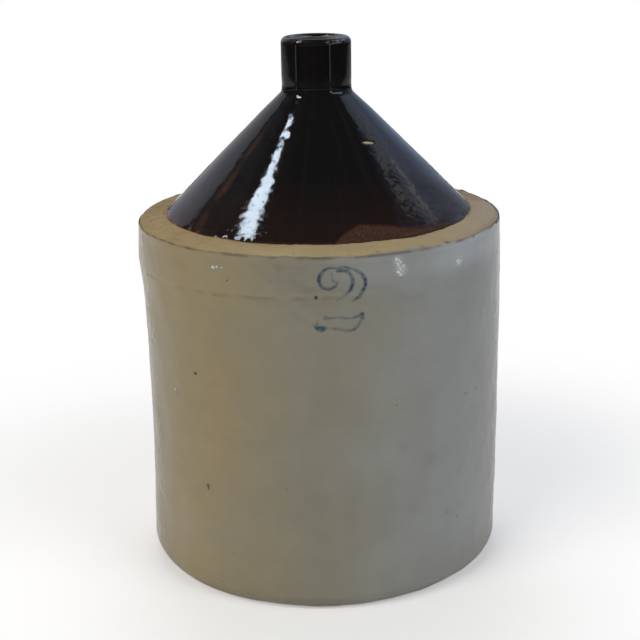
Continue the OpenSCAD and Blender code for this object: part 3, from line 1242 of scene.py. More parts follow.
@dataclass(frozen=True)
class Shoulder:
    """The clay shoulder: flange with the bare ledge, cone and neck."""

    cad: CadSizes
    form: UnevenForm
    corner_r: float = 4.0
    cone_t: float = 9.0
    cone_slope: float = 0.9973
    ledge_step: float = 0.45
    hidden_step: float = 5.0
    coat: float = 0.4
    lip_r: float = 3.0
    mouth_edge_r: float = 2.0
    ledge_fall: float = 1.3
    side_fall: float = 1.1
    cone_in: float = 0.85
    cone_in_ends_z: tuple[float, float] = (303.0, 298.0)
    groove_r: float = 106.5
    segments: int = 640
    edge_knocks: tuple[Mark, ...] = (
        Mark(-27.7, 222.6, 3.2, 0.9), Mark(25.9, 223.6, 1.4), Mark(11.2, 223.1, 1.1, 0.5),
        Mark(-0.7, 222.6, 1.0, 0.4), Mark(16.9, 223.4, 0.9, 0.4), Mark(35.4, 223.9, 1.6, 0.9),
        Mark(153.9, 223.2, 2.4, 0.8), Mark(-115.1, 223.4, 1.8, 0.6), Mark(99.9, 223.6, 1.3, 0.5),
    )

    def cone_at(self, height: float, out: float) -> float:
        """Radius of the clay cone's line at a height, moved out square to it."""
        foot = self.cad.cone_r - self.coat * math.sqrt(2)
        return foot - (height - self.cad.ledge_z) * self.cone_slope + out * math.sqrt(2)

    def side_drop(self, turn: Array) -> Array:
        """How much lower the ledge's outer edge lies at the sides and the back."""
        return self.side_fall * smooth(np.abs(turn), 45, 95)

    def pull_in(self, points: Array) -> Array:
        """Draw the cone in a little from its packed size, as its outline in the photo has it.

        Args:
            points: Places in millimetres, one a row.

        Returns:
            The moved places.
        """
        radius, height = np.hypot(points[:, 0], points[:, 1]), points[:, 2]
        share = smooth(height, self.cad.ledge_z - 4, self.cad.ledge_z - 2)
        share *= smooth(height, *self.cone_in_ends_z)
        beyond = radius - (self.cad.cone_r - (height - self.cad.ledge_z) * self.cone_slope)
        near = smooth(beyond, -3.0, -1.5) * smooth(beyond, 4.5, 1.0)
        moved = points.copy()
        moved[:, :2] *= (1 - self.cone_in * share * near / np.maximum(radius, 1))[:, None]
        return moved

    def profile(self) -> Array:
        """Profile of the shoulder: flange, corner, ledge, cone and neck outside, then down the inside.

        Returns:
            Rows of radius and height.
        """
        cad = self.cad
        foot = cad.cone_r - self.coat * math.sqrt(2)
        neck = cad.neck_r - self.coat
        lip_z = cad.top_z - self.coat
        neck_z = cad.ledge_z + (foot - neck) / self.cone_slope
        bore = cad.bore_r + self.coat
        inner_top = cad.ledge_z + (self.cone_at(cad.ledge_z, -self.cone_t) - bore) / self.cone_slope
        corner, corner_z = cad.clay_r - self.corner_r, cad.ledge_z - self.corner_r
        inner_foot = (self.cone_at(cad.seam_z, -self.cone_t), cad.seam_z)
        return chain(
            line((cad.clay_r, cad.seam_z), (cad.clay_r, cad.coat_top_z - 3), 2.0),
            line((cad.clay_r, cad.coat_top_z - 3), (cad.clay_r, corner_z), self.ledge_step),
            arc(corner, corner_z, self.corner_r, 0, 90, 12),
            line((corner, cad.ledge_z), (foot, cad.ledge_z), self.ledge_step),
            line((foot, cad.ledge_z), (neck, neck_z), self.hidden_step),
            line((neck, neck_z), (neck, lip_z - self.lip_r), self.hidden_step),
            arc(neck - self.lip_r, lip_z - self.lip_r, self.lip_r, 0, 90, 6),
            line((neck - self.lip_r, lip_z), (bore + self.mouth_edge_r, lip_z), 1.5),
            arc(bore + self.mouth_edge_r, lip_z - self.mouth_edge_r, self.mouth_edge_r, 90, 180, 6),
            line((bore, lip_z - self.mouth_edge_r), (bore, inner_top), self.hidden_step),
            line((bore, inner_top), inner_foot, self.hidden_step),
            line(inner_foot, (cad.clay_r, cad.seam_z), self.hidden_step)[:-1],
        )

    def build(self, wheel: Wheel, finishes: Finishes) -> None:
        """Turn the shoulder, groove and knock its ledge, and dress it.

        Args:
            wheel: The turning tree.
            finishes: The materials.
        """
        cad = self.cad
        piece = wheel.turn("shoulder_clay", self.profile(), self.segments, finishes.bare_clay)
        surface = Surface(piece)
        radius, turn, height = surface.radius, surface.turn, surface.height
        flat = smooth(height, cad.ledge_z - 2, cad.ledge_z - 0.2) * (radius > cad.cone_r - 1)
        rings = 0.035 * np.sin(radius * 2.1 + 0.4 * np.sin(np.radians(turn) * 2))
        rings += 0.02 * np.sin(radius * 5.3)
        groove = -0.35 * hump(radius, self.groove_r, 0.7) * hump(turned_by(turn, -50), 0, 38)
        lean = 0.28 * Swell(31, 60).at(surface.points)
        skin = 0.05 * Swell(32, 5, 40).at(surface.points)
        edge = (radius > cad.cone_r - 1) & (height > cad.coat_top_z - 2)
        rough_edge = np.where(edge, 0.05 * Swell(33, 7, 40).at(surface.points), 0)
        surface.push(flat * (rings + groove + skin) + rough_edge)
        outward = (radius - cad.cone_r) / (cad.clay_r - cad.cone_r)
        fall = (self.ledge_fall + self.side_drop(turn)) * np.clip(outward, 0, 1)
        fall *= smooth(height, cad.coat_top_z - 8, cad.coat_top_z)
        surface.points[:, 2] += flat * (lean - 0.3) - np.where(edge, fall, 0)
        dirt = 0.55 * hump(height, cad.coat_top_z + 1.7, 0.9) * (radius > cad.clay_r - 2.5)
        dirt *= np.clip(0.6 + 0.6 * Swell(34, 16).at(surface.points), 0, 1.4)
        for knock in self.edge_knocks:
            spot = knock.spot(turn, cad.clay_r, height, min(knock.width, 1.2)) * (radius > cad.clay_r - 6)
            surface.push(-0.5 * knock.depth * spot)
            dirt += spot * knock.depth
        surface.points = self.form.shift(self.pull_in(surface.points))
        surface.save()
        # Darker and warmer on the ledge's left.
        left_side = smooth(turned_by(turn, -85), 55, 25) * smooth(outward, 1.25, 0.9)
        left_ledge_darkening = 0.13 * flat * left_side * (1 + 0.5 * Swell(36, 9).at(surface.points))
        surface.paint(Paint.DIRT, dirt + left_ledge_darkening)
        warm = 0.35 + 0.65 * hump(turned_by(turn, -78), 0, 42)
        rust = hump(radius, cad.cone_r, 1.3) * flat * warm
        rust *= 0.75 + 0.35 * Swell(35, 14).at(surface.points)
        surface.paint(Paint.BLUSH, np.maximum(rust, 0.18 * flat * left_side))
        finish_piece(piece, Slot.BARE_CLAY, "shoulder_top")


@dataclass(frozen=True)
class WallGlaze:
    """The pale glaze on the wall, with its rolled upper edge, stains, painted glints and sheen, and painted
    shade.
    """

    cad: CadSizes
    form: UnevenForm
    shoulder: Shoulder
    coat: float = 0.5
    heel_r: float = 11.0
    edge_rise: float = 1.6
    grey_turn: float = -9.0
    tone_spread: float = 84.0
    side_shade: float = 0.40
    sheen_band_z: tuple[float, float] = (196.0, 214.0)
    left_line_z: float = 198.2
    right_line_z: float = 205.0
    row_step: float = 1.3
    segments: int = 420
    # Pale spots round the beads: painted glints.
    painted_highlight_spots: tuple[Mark, ...] = (
        Mark(16.9, 217.5, 2.6, 0.55), Mark(17.9, 211.8, 3.0, 0.70), Mark(39.6, 210.0, 1.9, 0.80),
        Mark(-37.2, 213.4, 2.4, 0.30),
    )
    # The stain at turn -58.4 sits just under a bead and paints its shadow.
    stains: tuple[Mark, ...] = (
        Mark(18.1, 101.7, 4.5, 0.15), Mark(28.5, 90.7, 4.5, 0.12), Mark(21.9, 61.8, 3.5, 0.11),
        Mark(35.7, 52.0, 3.0, 0.12), Mark(-58.4, 128.3, 2.6, 0.35), Mark(43.2, 125.8, 1.5, 0.30),
        Mark(-44.5, 73.8, 1.4, 0.50), Mark(121.9, 140.0, 6.0, 0.20), Mark(-148.1, 80.0, 5.0, 0.25),
    )

    def profile(self) -> Array:
        """Profile of the coat: heel and wall outside, the rolled edge, and back against the clay.

        Returns:
            Rows of radius and height.
        """
        cad = self.cad
        heel = cad.clay_r - self.heel_r
        start = math.degrees(math.acos((self.heel_r - cad.coat_foot_z - 0.6) / self.heel_r)) - 90
        top = cad.coat_top_z + self.edge_rise
        bead = self.coat / 2
        return chain(
            arc(heel, self.heel_r, self.heel_r + self.coat, start, 0, 14),
            line((cad.coat_r, self.heel_r), (cad.coat_r, cad.coat_top_z - 6), self.row_step),
            line((cad.coat_r, cad.coat_top_z - 6), (cad.coat_r, top - bead), 0.45),
            arc(cad.coat_r - bead, top - bead, bead, 15, 180, 5),
            line((cad.clay_r, top - bead), (cad.clay_r, self.heel_r), 8.0),
            arc(heel, self.heel_r, self.heel_r, 0, start, 8),
        )

    def tone(self, turn: Array, height: Array) -> Array:
        """Tone of the wall from tan, 0, through grey and cool to the painted highlight, 1; partly the glaze's
        colour and partly painted light.

        Args:
            turn: Angles round the jug.
            height: Heights.

        Returns:
            The tone at each place.
        """
        # Tan on the left to cool on the right: partly the glaze's colour, partly painted warm light on the
        # left and cool light on the right.
        away = turned_by(turn, self.grey_turn)
        value = 0.5 + np.clip(away / self.tone_spread, -0.5, 0.5)
        patch = smooth(turned_by(turn, -72), 64, 22) * smooth(np.abs(height - 105), 62, 54)
        behind = smooth(np.abs(turned_by(turn, 180)), 95, 30)
        value = value * (1 - behind) + 0.42 * behind
        # Painted glints round the beads.
        for painted_highlight in self.painted_highlight_spots:
            value = value + painted_highlight.depth * painted_highlight.spot(turn, self.cad.coat_r, height)
        # A lighter band along the top of the wall: painted sheen.
        sheen_band = smooth(height, *self.sheen_band_z) * smooth(turn, -32, 30) * smooth(turn, 120, 80)
        low_left = smooth(height, 100, 75) * smooth(turned_by(turn, -60), 40, 10)
        return (value - 0.10 * patch + 0.08 * low_left + 0.34 * sheen_band) / TONE_SPAN

    def stain(self, turn: Array, height: Array) -> Array:
        """Strength of the darker brownish marks: smudges, a darker foot, a painted ground shadow low on the
        right and painted shade at the sides.

        Args:
            turn: Angles round the jug.
            height: Heights.

        Returns:
            The strength at each place.
        """
        side = np.abs(turned_by(turn, CAMERA_TURN))
        # Darker towards the foot, and a painted ground shadow low on the right.
        total = 0.5 * smooth(height, 9, 2) + 0.16 * smooth(height, 48, 14) * hump(turned_by(turn, 46), 0, 26)
        # Painted shade towards the sides, as the camera sees them.
        total += self.side_shade * smooth(side, 50, 76) * smooth(side, 165, 88) * smooth(height, 216, 130)
        total += 0.09 * hump(turned_by(turn, -36), 0, 22) * hump(height, 152, 42)
        for mark in self.stains:
            total += mark.depth * mark.spot(turn, self.cad.coat_r, height)
        return total

    def throwing_lines(self, turn: Array, height: Array) -> Array:
        """Height of the ridges and grooves that run round the wall.

        Args:
            turn: Angles round the jug.
            height: Heights.

        Returns:
            The height at each place.
        """
        fine = 0.010 * np.sin(height * 0.62) + 0.008 * np.sin(height * 1.37 + 1)
        fine += 0.006 * np.sin(height * 2.9)
        left_line = self.left_line(turn)
        ridge = -0.13 * hump(height, left_line, 0.8) * smooth(turned_by(turn, -30), 50, 30)
        ridge += 0.06 * hump(height, left_line + 3, 2.4)
        right_side = smooth(turned_by(turn, 32), -30, -18) * smooth(turned_by(turn, 32), 60, 30)
        return fine + ridge - 0.10 * hump(height, self.right_line_z, 0.7) * right_side

    def left_line(self, turn: Array) -> Array:
        """Height of the long line on the wall's left, which climbs to the right."""
        return self.left_line_z + 0.055 * np.clip(turned_by(turn, -20), -60, 30)

    def build(self, wheel: Wheel, finishes: Finishes) -> bpy.types.Object:
        """Turn the coat, wave its edges, raise its lines and paint it.

        Args:
            wheel: The turning tree.
            finishes: The materials.

        Returns:
            The coat.
        """
        piece = wheel.turn("wall_coat", self.profile(), self.segments, finishes.pale_glaze)
        surface = Surface(piece)
        radius, turn, height = surface.radius, surface.turn, surface.height
        outer = smooth(radius, self.cad.clay_r + 0.05, self.cad.coat_r - 0.05)
        top = self.cad.coat_top_z + self.edge_rise
        angle = np.radians(turn)
        ring = np.stack([radius * np.sin(angle), radius * np.cos(angle), 0 * height], 1)
        wavy = 0.45 * Swell(41, 60).at(ring) + 0.22 * Swell(42, 14, 40).at(ring)
        wavy += 0.10 * Swell(43, 4, 60).at(ring)
        dip = -0.4 * hump(turned_by(turn, -20), 0, 22) + 0.5 * hump(turned_by(turn, 22), 0, 12)
        dip -= self.shoulder.side_drop(turn)
        surface.points[:, 2] += smooth(height, top - 7, top - 0.5) * (wavy + dip)
        foot = smooth(height, 9, self.cad.coat_foot_z)
        surface.points[:, 2] += foot * 0.22 * np.clip(Swell(44, 26).at(ring), -1, 1)
        rolled = 0.10 * hump(surface.height, top - 1.3 + wavy + dip, 0.9)
        lines = self.throwing_lines(turn, height)
        soft = 0.05 * Swell(45, 9, 40).at(surface.points) + 0.10 * Swell(46, 28).at(surface.points)
        inside_edge = smooth(height, top, top - 1.5)
        surface.push(outer * np.maximum(rolled + inside_edge * (lines + soft), -0.3))
        surface.points = self.form.shift(surface.points)
        surface.save()
        surface.paint(Paint.TONE, self.tone(turn, height))
        dark_edge = 0.75 * hump(height, top - 0.5, 0.8) * np.clip(0.5 + 0.6 * Swell(47, 12).at(ring), 0, 1)
        dark_line = 0.55 * hump(height, self.left_line(turn), 0.75) * smooth(turned_by(turn, -30), 44, 16)
        dark_line *= np.clip(0.7 + 0.5 * Swell(48, 18).at(ring), 0, 1)
        surface.paint(Paint.STAIN_AND_SHADE, self.stain(turn, height) + dark_edge + dark_line)
        finish_piece(piece, Slot.PALE_GLAZE, "wall_glaze")
        return piece


@dataclass(frozen=True)
class TopGlaze:
    """The brown glaze on cone, neck and lip, with its ragged foot and the dull patch at the front."""

    cad: CadSizes
    shoulder: Shoulder
    coat: float = 0.4
    fillet_r: float = 8.0
    row_step: float = 0.85
    segments: int = 400
    chip: Mark = Mark(33.2, 273.0, 5.0)
    swell: Mark = Mark(-28.6, 279.6, 2.4, 0.13)
    dry_edge: float = 0.9
    neck_step: float = 0.26
    neck_step_z: tuple[float, float] = (287.5, 296.0)
    neck_rise_z: tuple[float, float] = (309.0, 297.0)
    rough_side_z: tuple[float, float] = (292.0, 280.0)
    streak_top_z: tuple[float, float] = (294.0, 284.0)
    patch_turns: tuple[float, ...] = (-2.6, 0.6, 3.6, 9.5, 19.2, 30.1, 48.5, 57.0)
    patch_rises: tuple[float, ...] = (-2.0, 1.1, 4.4, 8.0, 6.4, 3.3, 1.4, -2.0)
    brown_turn: float = -55.5

    def profile(self) -> Array:
        """Profile of the coat: up the cone and the neck, over the lip, and back against the clay.

        Returns:
            Rows of radius and height.
        """
        cad = self.cad
        neck, inner_neck = cad.neck_r, cad.neck_r - self.coat
        foot = cad.cone_r + 0.5
        clay_foot = cad.cone_r - self.coat * math.sqrt(2)
        hollow_r = inner_neck + self.fillet_r
        hollow_reach = clay_foot - hollow_r + self.fillet_r * math.sqrt(2)
        hollow_z = cad.ledge_z + hollow_reach / self.shoulder.cone_slope
        lip_r, lip_z = self.shoulder.lip_r, cad.top_z - self.coat
        edge_r = self.shoulder.mouth_edge_r
        edge = cad.bore_r + self.coat + edge_r
        hollow = arc(hollow_r, hollow_z, self.fillet_r - self.coat, 225, 180, 8)
        inner_hollow = arc(hollow_r, hollow_z, self.fillet_r, 180, 225, 5)
        return chain(
            np.array([[foot - 0.15, cad.ledge_z - 0.25], [foot, cad.ledge_z]]),
            arc(foot - 0.35, cad.ledge_z + 0.05, 0.35, 0, 60, 3),
            line((foot - 0.35, cad.ledge_z + 0.55), hollow[0], self.row_step),
            hollow,
            line(hollow[-1], (neck, lip_z - lip_r), self.row_step),
            arc(inner_neck - lip_r, lip_z - lip_r, lip_r + self.coat, 0, 90, 12),
            line((inner_neck - lip_r, cad.top_z), (edge, cad.top_z), self.row_step),
            arc(edge, lip_z - edge_r, edge_r + self.coat, 90, 180, 8),
            arc(edge, lip_z - edge_r, edge_r, 180, 90, 6),
            line((edge, lip_z), (inner_neck - lip_r, lip_z), 2.0),
            arc(inner_neck - lip_r, lip_z - lip_r, lip_r, 90, 0, 6),
            line((inner_neck, lip_z - lip_r), inner_hollow[0], 4.0),
            inner_hollow,
            line(inner_hollow[-1], (clay_foot, cad.ledge_z - 0.25), 5.0),
        )

    def patch(self, turn: Array, height: Array) -> Array:
        """Share of the dull, barely glazed patch, broad enough at its edge to be cut sharply later."""
        rise = np.interp(turn, self.patch_turns, self.patch_rises)
        return np.clip(0.5 - (height - self.cad.ledge_z - rise) / 3.4, 0, 1)

    def haze(
        self, points: Array, turn: Array, radius: Array, height: Array
    ) -> Array:
        """Share of painted light: painted glints on the lip, and painted light on the far wall inside the
        mouth.

        Args:
            points: Places on the coat.
            turn: Their angles round the jug.
            radius: Their distances from the axis.
            height: Their heights.

        Returns:
            The share at each place.
        """
        top = self.cad.top_z
        patchy = np.clip(0.55 + 0.8 * Swell(58, 3.0, 48).at(points), 0, 1)
        # Painted glints on the lip, right and left.
        right = hump(height, top - 1.5 + 0.020 * (turn - 30), 0.55)
        right *= smooth(turn, 8, 16) * smooth(turn, 58, 48)
        left = hump(height, top - 1.2, 0.55) * smooth(turn, -48, -42) * smooth(turn, -26, -32)
        # Painted light on the far wall inside the mouth, under a dark slot.
        far = hump(turned_by(turn, 172), 0, 24)
        inside = smooth(height, top - 0.5 - 1.1 * far, top - 0.9 - 1.1 * far)
        inside *= radius < self.cad.bore_r + 2.6
        return np.clip(0.85 * patchy * (right + left) + 0.8 * inside, 0, 0.9)

    def build(self, wheel: Wheel, finishes: Finishes) -> None:
        """Turn the coat, make its skin uneven, wave its foot, chip it and paint it.

        Args:
            wheel: The turning tree.
            finishes: The materials.
        """
        ledge_z, top_z = self.cad.ledge_z, self.cad.top_z
        piece = wheel.turn("top_coat", self.profile(), self.segments, finishes.brown_glaze)
        surface = Surface(piece)
        normal = surface.normals()
        radius, turn, height = surface.radius, surface.turn, surface.height
        facing = normal[:, 0] * surface.points[:, 0] + normal[:, 1] * surface.points[:, 1]
        outside = (facing > 0) | (height > top_z - 0.2)
        cone = outside * smooth(height, ledge_z, ledge_z + 4)
        calm = 1 - 0.7 * smooth(height, top_z - 34, top_z - 28)
        base_ward = smooth(height, ledge_z + 50, ledge_z)
        waves = 0.08 * Swell(51, 34).at(surface.points) + 0.014 * Swell(52, 9, 48).at(surface.points)
        waves += (0.003 + 0.007 * base_ward) * Swell(53, 4.2, 64).at(surface.points)
        rough_side = hump(turned_by(turn, 33), 0, 14) * smooth(height, *self.rough_side_z)
        waves += 0.016 * rough_side * Swell(59, 3.6, 64).at(surface.points)
        waves += 0.007 * hump(turned_by(turn, -70), 0, 16) * Swell(60, 5, 64).at(surface.points)
        neck_step = -self.neck_step * smooth(height, *self.neck_step_z) * smooth(height, *self.neck_rise_z)
        patch = self.patch(turn, height)
        slant = 0.12 * turned_by(turn, self.chip.turn)
        chip = outside * self.chip.spot(turn, radius, height + slant, 0.75)
        thinner = 0.10 * hump(patch, 0.44, 0.07) - 0.18 * smooth(patch, 0.45, 0.55)
        thinner -= 0.3 * smooth(chip, 0.3, 0.6)
        surface.push(cone * (calm * waves + neck_step + thinner))
        surface.push(cone * self.swell.depth * self.swell.spot(turn, radius, height))
        foot = outside * smooth(height, ledge_z + 3, ledge_z) * (radius > self.cad.cone_r - 4)
        edge = 0.28 * Swell(54, 26).at(surface.points) + 0.16 * Swell(55, 7, 50).at(surface.points)
        scale = 1 + foot * edge / np.maximum(radius, 1)
        surface.points[:, :2] *= scale[:, None]
        surface.points = self.shoulder.pull_in(surface.points)
        surface.points[:, 2] = np.minimum(surface.points[:, 2], top_z)
        surface.save()
        dry_z = ledge_z + self.dry_edge
        dry = 0.26 * outside * smooth(height, dry_z + 0.5, dry_z)
        lip = outside * hump(height, top_z - 1.0, 1.4)
        worn_lip = lip * np.clip(0.28 + 0.06 * Swell(56, 12).at(surface.points), 0, 0.4)
        # A brown streak down the left of the cone, painted with the thin share.
        streak = 0.36 * hump(turned_by(turn, self.brown_turn), 0, 2.8) * smooth(height, *self.streak_top_z)
        streak *= 0.85 + 0.3 * Swell(57, 20).at(surface.points)
        thin = np.maximum(patch, streak) * outside
        surface.paint(Paint.THIN, np.maximum(np.maximum(thin, dry), worn_lip))
        surface.paint(Paint.CHIP, chip)
        surface.paint(Paint.PAINTED_LIGHT, self.haze(surface.points, turn, radius, height))
        finish_piece(piece, Slot.BROWN_GLAZE, "top_glaze")


@dataclass(frozen=True)
class StrapHandle:
    """The strap handle behind the neck, pulled and pressed on at both ends."""

    cad: CadSizes
    width: float = 24.0
    thickness: float = 8.6
    drop: float = 7.0
    upper_bend_r: float = 24.0
    lower_bend_r: float = 90.0
    out: float = 33.6
    lower_sweep: float = 40.0
    around: int = 48
    along: int = 150

    def path(self) -> tuple[Array, Array]:
        """Middle line of the strap in the plane of Y and Z, from the neck to the cone.

        Returns:
            Points and outward directions, as rows of y and z.
        """
        level = self.cad.top_z - self.drop - self.thickness / 2 - self.upper_bend_r
        top = np.radians(np.linspace(172, 0, self.along // 2))
        low = np.radians(np.linspace(0, -self.lower_sweep, self.along // 2))[1:]
        upper_way, lower_way = (np.stack([np.cos(bend), np.sin(bend)], 1) for bend in (top, low))
        upper = np.array([self.out, level]) + self.upper_bend_r * upper_way
        lower_centre = self.out + self.upper_bend_r - self.lower_bend_r
        lower = np.array([lower_centre, level]) + self.lower_bend_r * lower_way
        return np.concatenate([upper, lower]), np.concatenate([upper_way, lower_way])

    def build(self, finishes: Finishes) -> None:
        """Sweep the strap's oval along its path, press its ends and roughen it a little.

        Args:
            finishes: The materials.
        """
        line_points, outward = self.path()
        share = np.linspace(0, 1, len(line_points))
        pressed = smooth(share, 0.16, 0.0) + smooth(share, 0.86, 1.0)
        wide = self.width / 2 * (1 + 0.05 * np.sin(share * 7)) * (1 + 0.10 * pressed)
        thick = self.thickness / 2 * (1 + 0.04 * np.sin(share * 11 + 1)) * (1 + 0.12 * pressed)
        angles = np.radians(np.arange(self.around) * 360 / self.around)
        cosine, sine = np.cos(angles), np.sin(angles)
        groove = 1 - 0.16 * np.exp(-((sine / 0.35) ** 2)) * (cosine > 0)
        across = np.sign(sine) * np.abs(sine) ** 0.85
        rows = []
        for middle, facing, half, depth in zip(line_points, outward, wide, thick):
            places = middle + (depth * cosine * groove)[:, None] * facing
            rows.append(np.column_stack([half * across, places]))
        points = np.concatenate(rows)
        faces = grid_faces(len(rows), self.around, closed=True)
        last = len(points) - self.around
        faces += [tuple(range(self.around))[::-1], tuple(range(last, len(points)))]
        mesh = bpy.data.meshes.new("strap_handle")
        mesh.from_pydata([tuple(p * MM) for p in points], [], faces)
        mesh.shade_smooth()
        mesh.materials.append(finishes.brown_glaze)
        face_outwards(mesh)
        piece = put("strap_handle", mesh)
        surface = Surface(piece)
        surface.push(0.14 * Swell(61, 15).at(surface.points) + 0.03 * Swell(62, 5).at(surface.points))
        surface.save()
        surface.paint(Paint.THIN, 0.30 * smooth(np.abs(surface.points[:, 0]), 9.5, 12.5))
        surface.paint(Paint.CHIP, np.zeros(len(points)))
        finish_piece(piece, Slot.BROWN_GLAZE, "handle")


BrushPoint = tuple[float, float, float, float]


@dataclass(frozen=True)
class Numeral:
    """The faded cobalt numeral 2, brushed in open strokes on the front of the wall.

    A stroke is a row of brush points: across and up from the numeral's middle, half width, strength.
    """

    cad: CadSizes
    form: UnevenForm
    glaze: WallGlaze
    middle_z: float = 197.6
    half_width: float = 17.0
    brush_spread: float = 1.2
    half_height: float = 21.0
    grid_step: float = 0.22
    lift: float = 0.05
    faintest: float = 0.03
    strokes: tuple[tuple[BrushPoint, ...], ...] = (
        (
            (-1.3, 18.3, 0.9, 0.45), (-5.1, 18.9, 0.9, 0.5), (-8.1, 18.3, 1.1, 0.65),
            (-10.3, 16.3, 1.4, 0.9), (-11.6, 14.1, 1.6, 1.0), (-12.3, 11.6, 1.5, 0.85),
            (-11.7, 9.1, 1.3, 0.7), (-9.7, 7.4, 1.3, 0.7), (-7.0, 6.7, 1.3, 0.7), (-4.4, 7.4, 1.3, 0.7),
            (-2.6, 8.8, 1.3, 0.65), (-1.9, 10.4, 1.1, 0.4),
        ),
        (
            (-5.1, 15.8, 0.9, 0.22), (-4.9, 13.4, 1.0, 0.3), (-4.4, 11.6, 1.1, 0.4),
            (-3.0, 10.4, 1.1, 0.45), (-2.0, 9.6, 1.1, 0.45),
        ),
        (
            (-1.5, 17.0, 1.3, 0.8), (0.2, 17.5, 1.8, 1.0), (2.6, 17.1, 1.5, 0.85), (4.5, 16.0, 1.3, 0.75),
            (6.1, 14.0, 1.3, 0.7), (6.9, 11.5, 1.4, 0.8), (6.8, 9.0, 1.4, 0.8), (5.7, 6.2, 1.4, 0.75),
            (4.2, 4.4, 1.2, 0.6), (2.0, 2.4, 1.1, 0.3), (-0.4, 1.1, 1.0, 0.22), (-2.9, -0.8, 0.9, 0.12),
        ),
        (
            (-1.0, 18.6, 1.0, 0.5), (2.0, 19.0, 1.1, 0.6), (4.9, 18.3, 1.2, 0.55), (7.4, 17.6, 1.1, 0.45),
            (10.2, 16.1, 1.2, 0.6), (12.5, 14.1, 1.4, 0.75), (14.0, 11.6, 1.5, 0.85),
            (14.4, 9.4, 1.5, 0.85), (13.6, 6.6, 1.4, 0.8), (12.0, 3.7, 1.4, 0.75), (9.7, 1.0, 1.3, 0.7),
            (6.4, -0.8, 1.0, 0.35),
        ),
        (
            (-8.9, -10.4, 1.9, 0.6), (-6.3, -10.4, 1.1, 0.45), (-2.2, -10.2, 1.0, 0.4),
            (1.4, -10.6, 1.0, 0.5), (5.5, -10.9, 1.0, 0.5), (9.2, -10.1, 1.2, 0.6),
            (12.0, -9.4, 2.0, 1.0),
        ),
        (
            (12.5, -10.6, 1.5, 0.75), (11.4, -13.2, 1.2, 0.6), (9.8, -15.8, 1.2, 0.6),
            (7.4, -17.8, 1.2, 0.65), (4.0, -18.3, 1.2, 0.6), (0.8, -17.6, 1.1, 0.5),
            (-2.2, -17.0, 1.2, 0.45), (-5.1, -16.7, 1.0, 0.35), (-7.4, -16.6, 0.9, 0.2),
        ),
        (
            (-15.0, -14.9, 1.4, 0.7), (-13.7, -15.8, 2.0, 0.9), (-11.6, -16.7, 2.2, 1.0),
            (-9.7, -16.5, 1.8, 0.95), (-8.2, -16.3, 1.0, 0.7),
        ),
        (
            (-13.6, -12.6, 0.8, 0.35), (-13.6, -13.9, 1.0, 0.55),
        ),
    )

    def stroke_object(self) -> bpy.types.Object:
        """Make the strokes as lines in the numeral's flat frame, with their widths and strengths.

        Returns:
            An object that holds the lines.
        """
        table = np.concatenate([np.array(stroke) for stroke in self.strokes])
        places = np.stack([table[:, 0], 0 * table[:, 0], table[:, 1]], 1) * MM
        values = {"width": table[:, 2] * self.brush_spread * MM, "strength": table[:, 3]}
        starts = np.cumsum([len(stroke) for stroke in self.strokes])
        return put("strokes", point_mesh(places, values, starts.tolist()))

    def patch(self) -> bpy.types.Mesh:
        """Make the patch of wall that the numeral is brushed on, with its flat coordinates.

        Returns:
            The patch's mesh.
        """
        across = np.arange(-self.half_width, self.half_width, self.grid_step)
        up = np.arange(-self.half_height, self.half_height, self.grid_step)
        x, z = (g.ravel() for g in np.meshgrid(across, up))
        angle = x / self.cad.coat_r
        wall_x, wall_y = self.cad.coat_r * np.sin(angle), -self.cad.coat_r * np.cos(angle)
        wall = np.stack([wall_x, wall_y, z + self.middle_z], 1)
        mesh = bpy.data.meshes.new("numeral_patch")
        faces = grid_faces(len(up), len(across), closed=False)
        mesh.from_pydata([tuple(p * MM) for p in wall], [], faces)
        store(mesh, "flat", np.stack([x, 0 * x, z], 1) * MM)
        return mesh

    def build(self, coat: bpy.types.Object, finishes: Finishes) -> None:
        """Brush the numeral and lay it on the coat.

        Args:
            coat: The wall glaze that it lies on.
            finishes: The materials.
        """
        strokes = self.stroke_object()
        values = {"Strokes": strokes, "Faintest": self.faintest, "Finish": finishes.pale_glaze}
        piece = BrushMarks().run("numeral_two", self.patch(), values)
        bpy.data.objects.remove(strokes)
        surface = Surface(piece)
        turn, height = surface.turn, surface.height
        surface.points = self.on_coat(surface.points, coat)
        surface.save()
        surface.paint(Paint.TONE, self.glaze.tone(turn, height))
        surface.paint(Paint.STAIN_AND_SHADE, self.glaze.stain(turn, height))
        finish_piece(piece, Slot.COBALT, "capacity_mark")

    def on_coat(self, points: Array, coat: bpy.types.Object) -> Array:
        """Drop points along their radius onto the coat and lift them a hair above it.

        Args:
            points: Places in millimetres, one a row.
            coat: The wall glaze.

        Returns:
            The places on the coat.
        """
        placed = []
        for x, y, z in points:
            inward = Vector((-x, -y, 0)).normalized()
            start = Vector((x, y, z)) * MM - inward * 0.01
            found, place, _, _ = coat.ray_cast(start, inward)
            spot = (place if found else Vector((x, y, z)) * MM) - inward * self.lift * MM
            placed.append(tuple(spot / MM))
        return np.array(placed)


def direction(turn: float, rise: float) -> Vector:
    """Direction from the jug to a place in the room, from its turn and rise in degrees."""
    around, up = math.radians(turn), math.radians(rise)
    return Vector((math.sin(around) * math.cos(up), -math.cos(around) * math.cos(up), math.sin(up)))


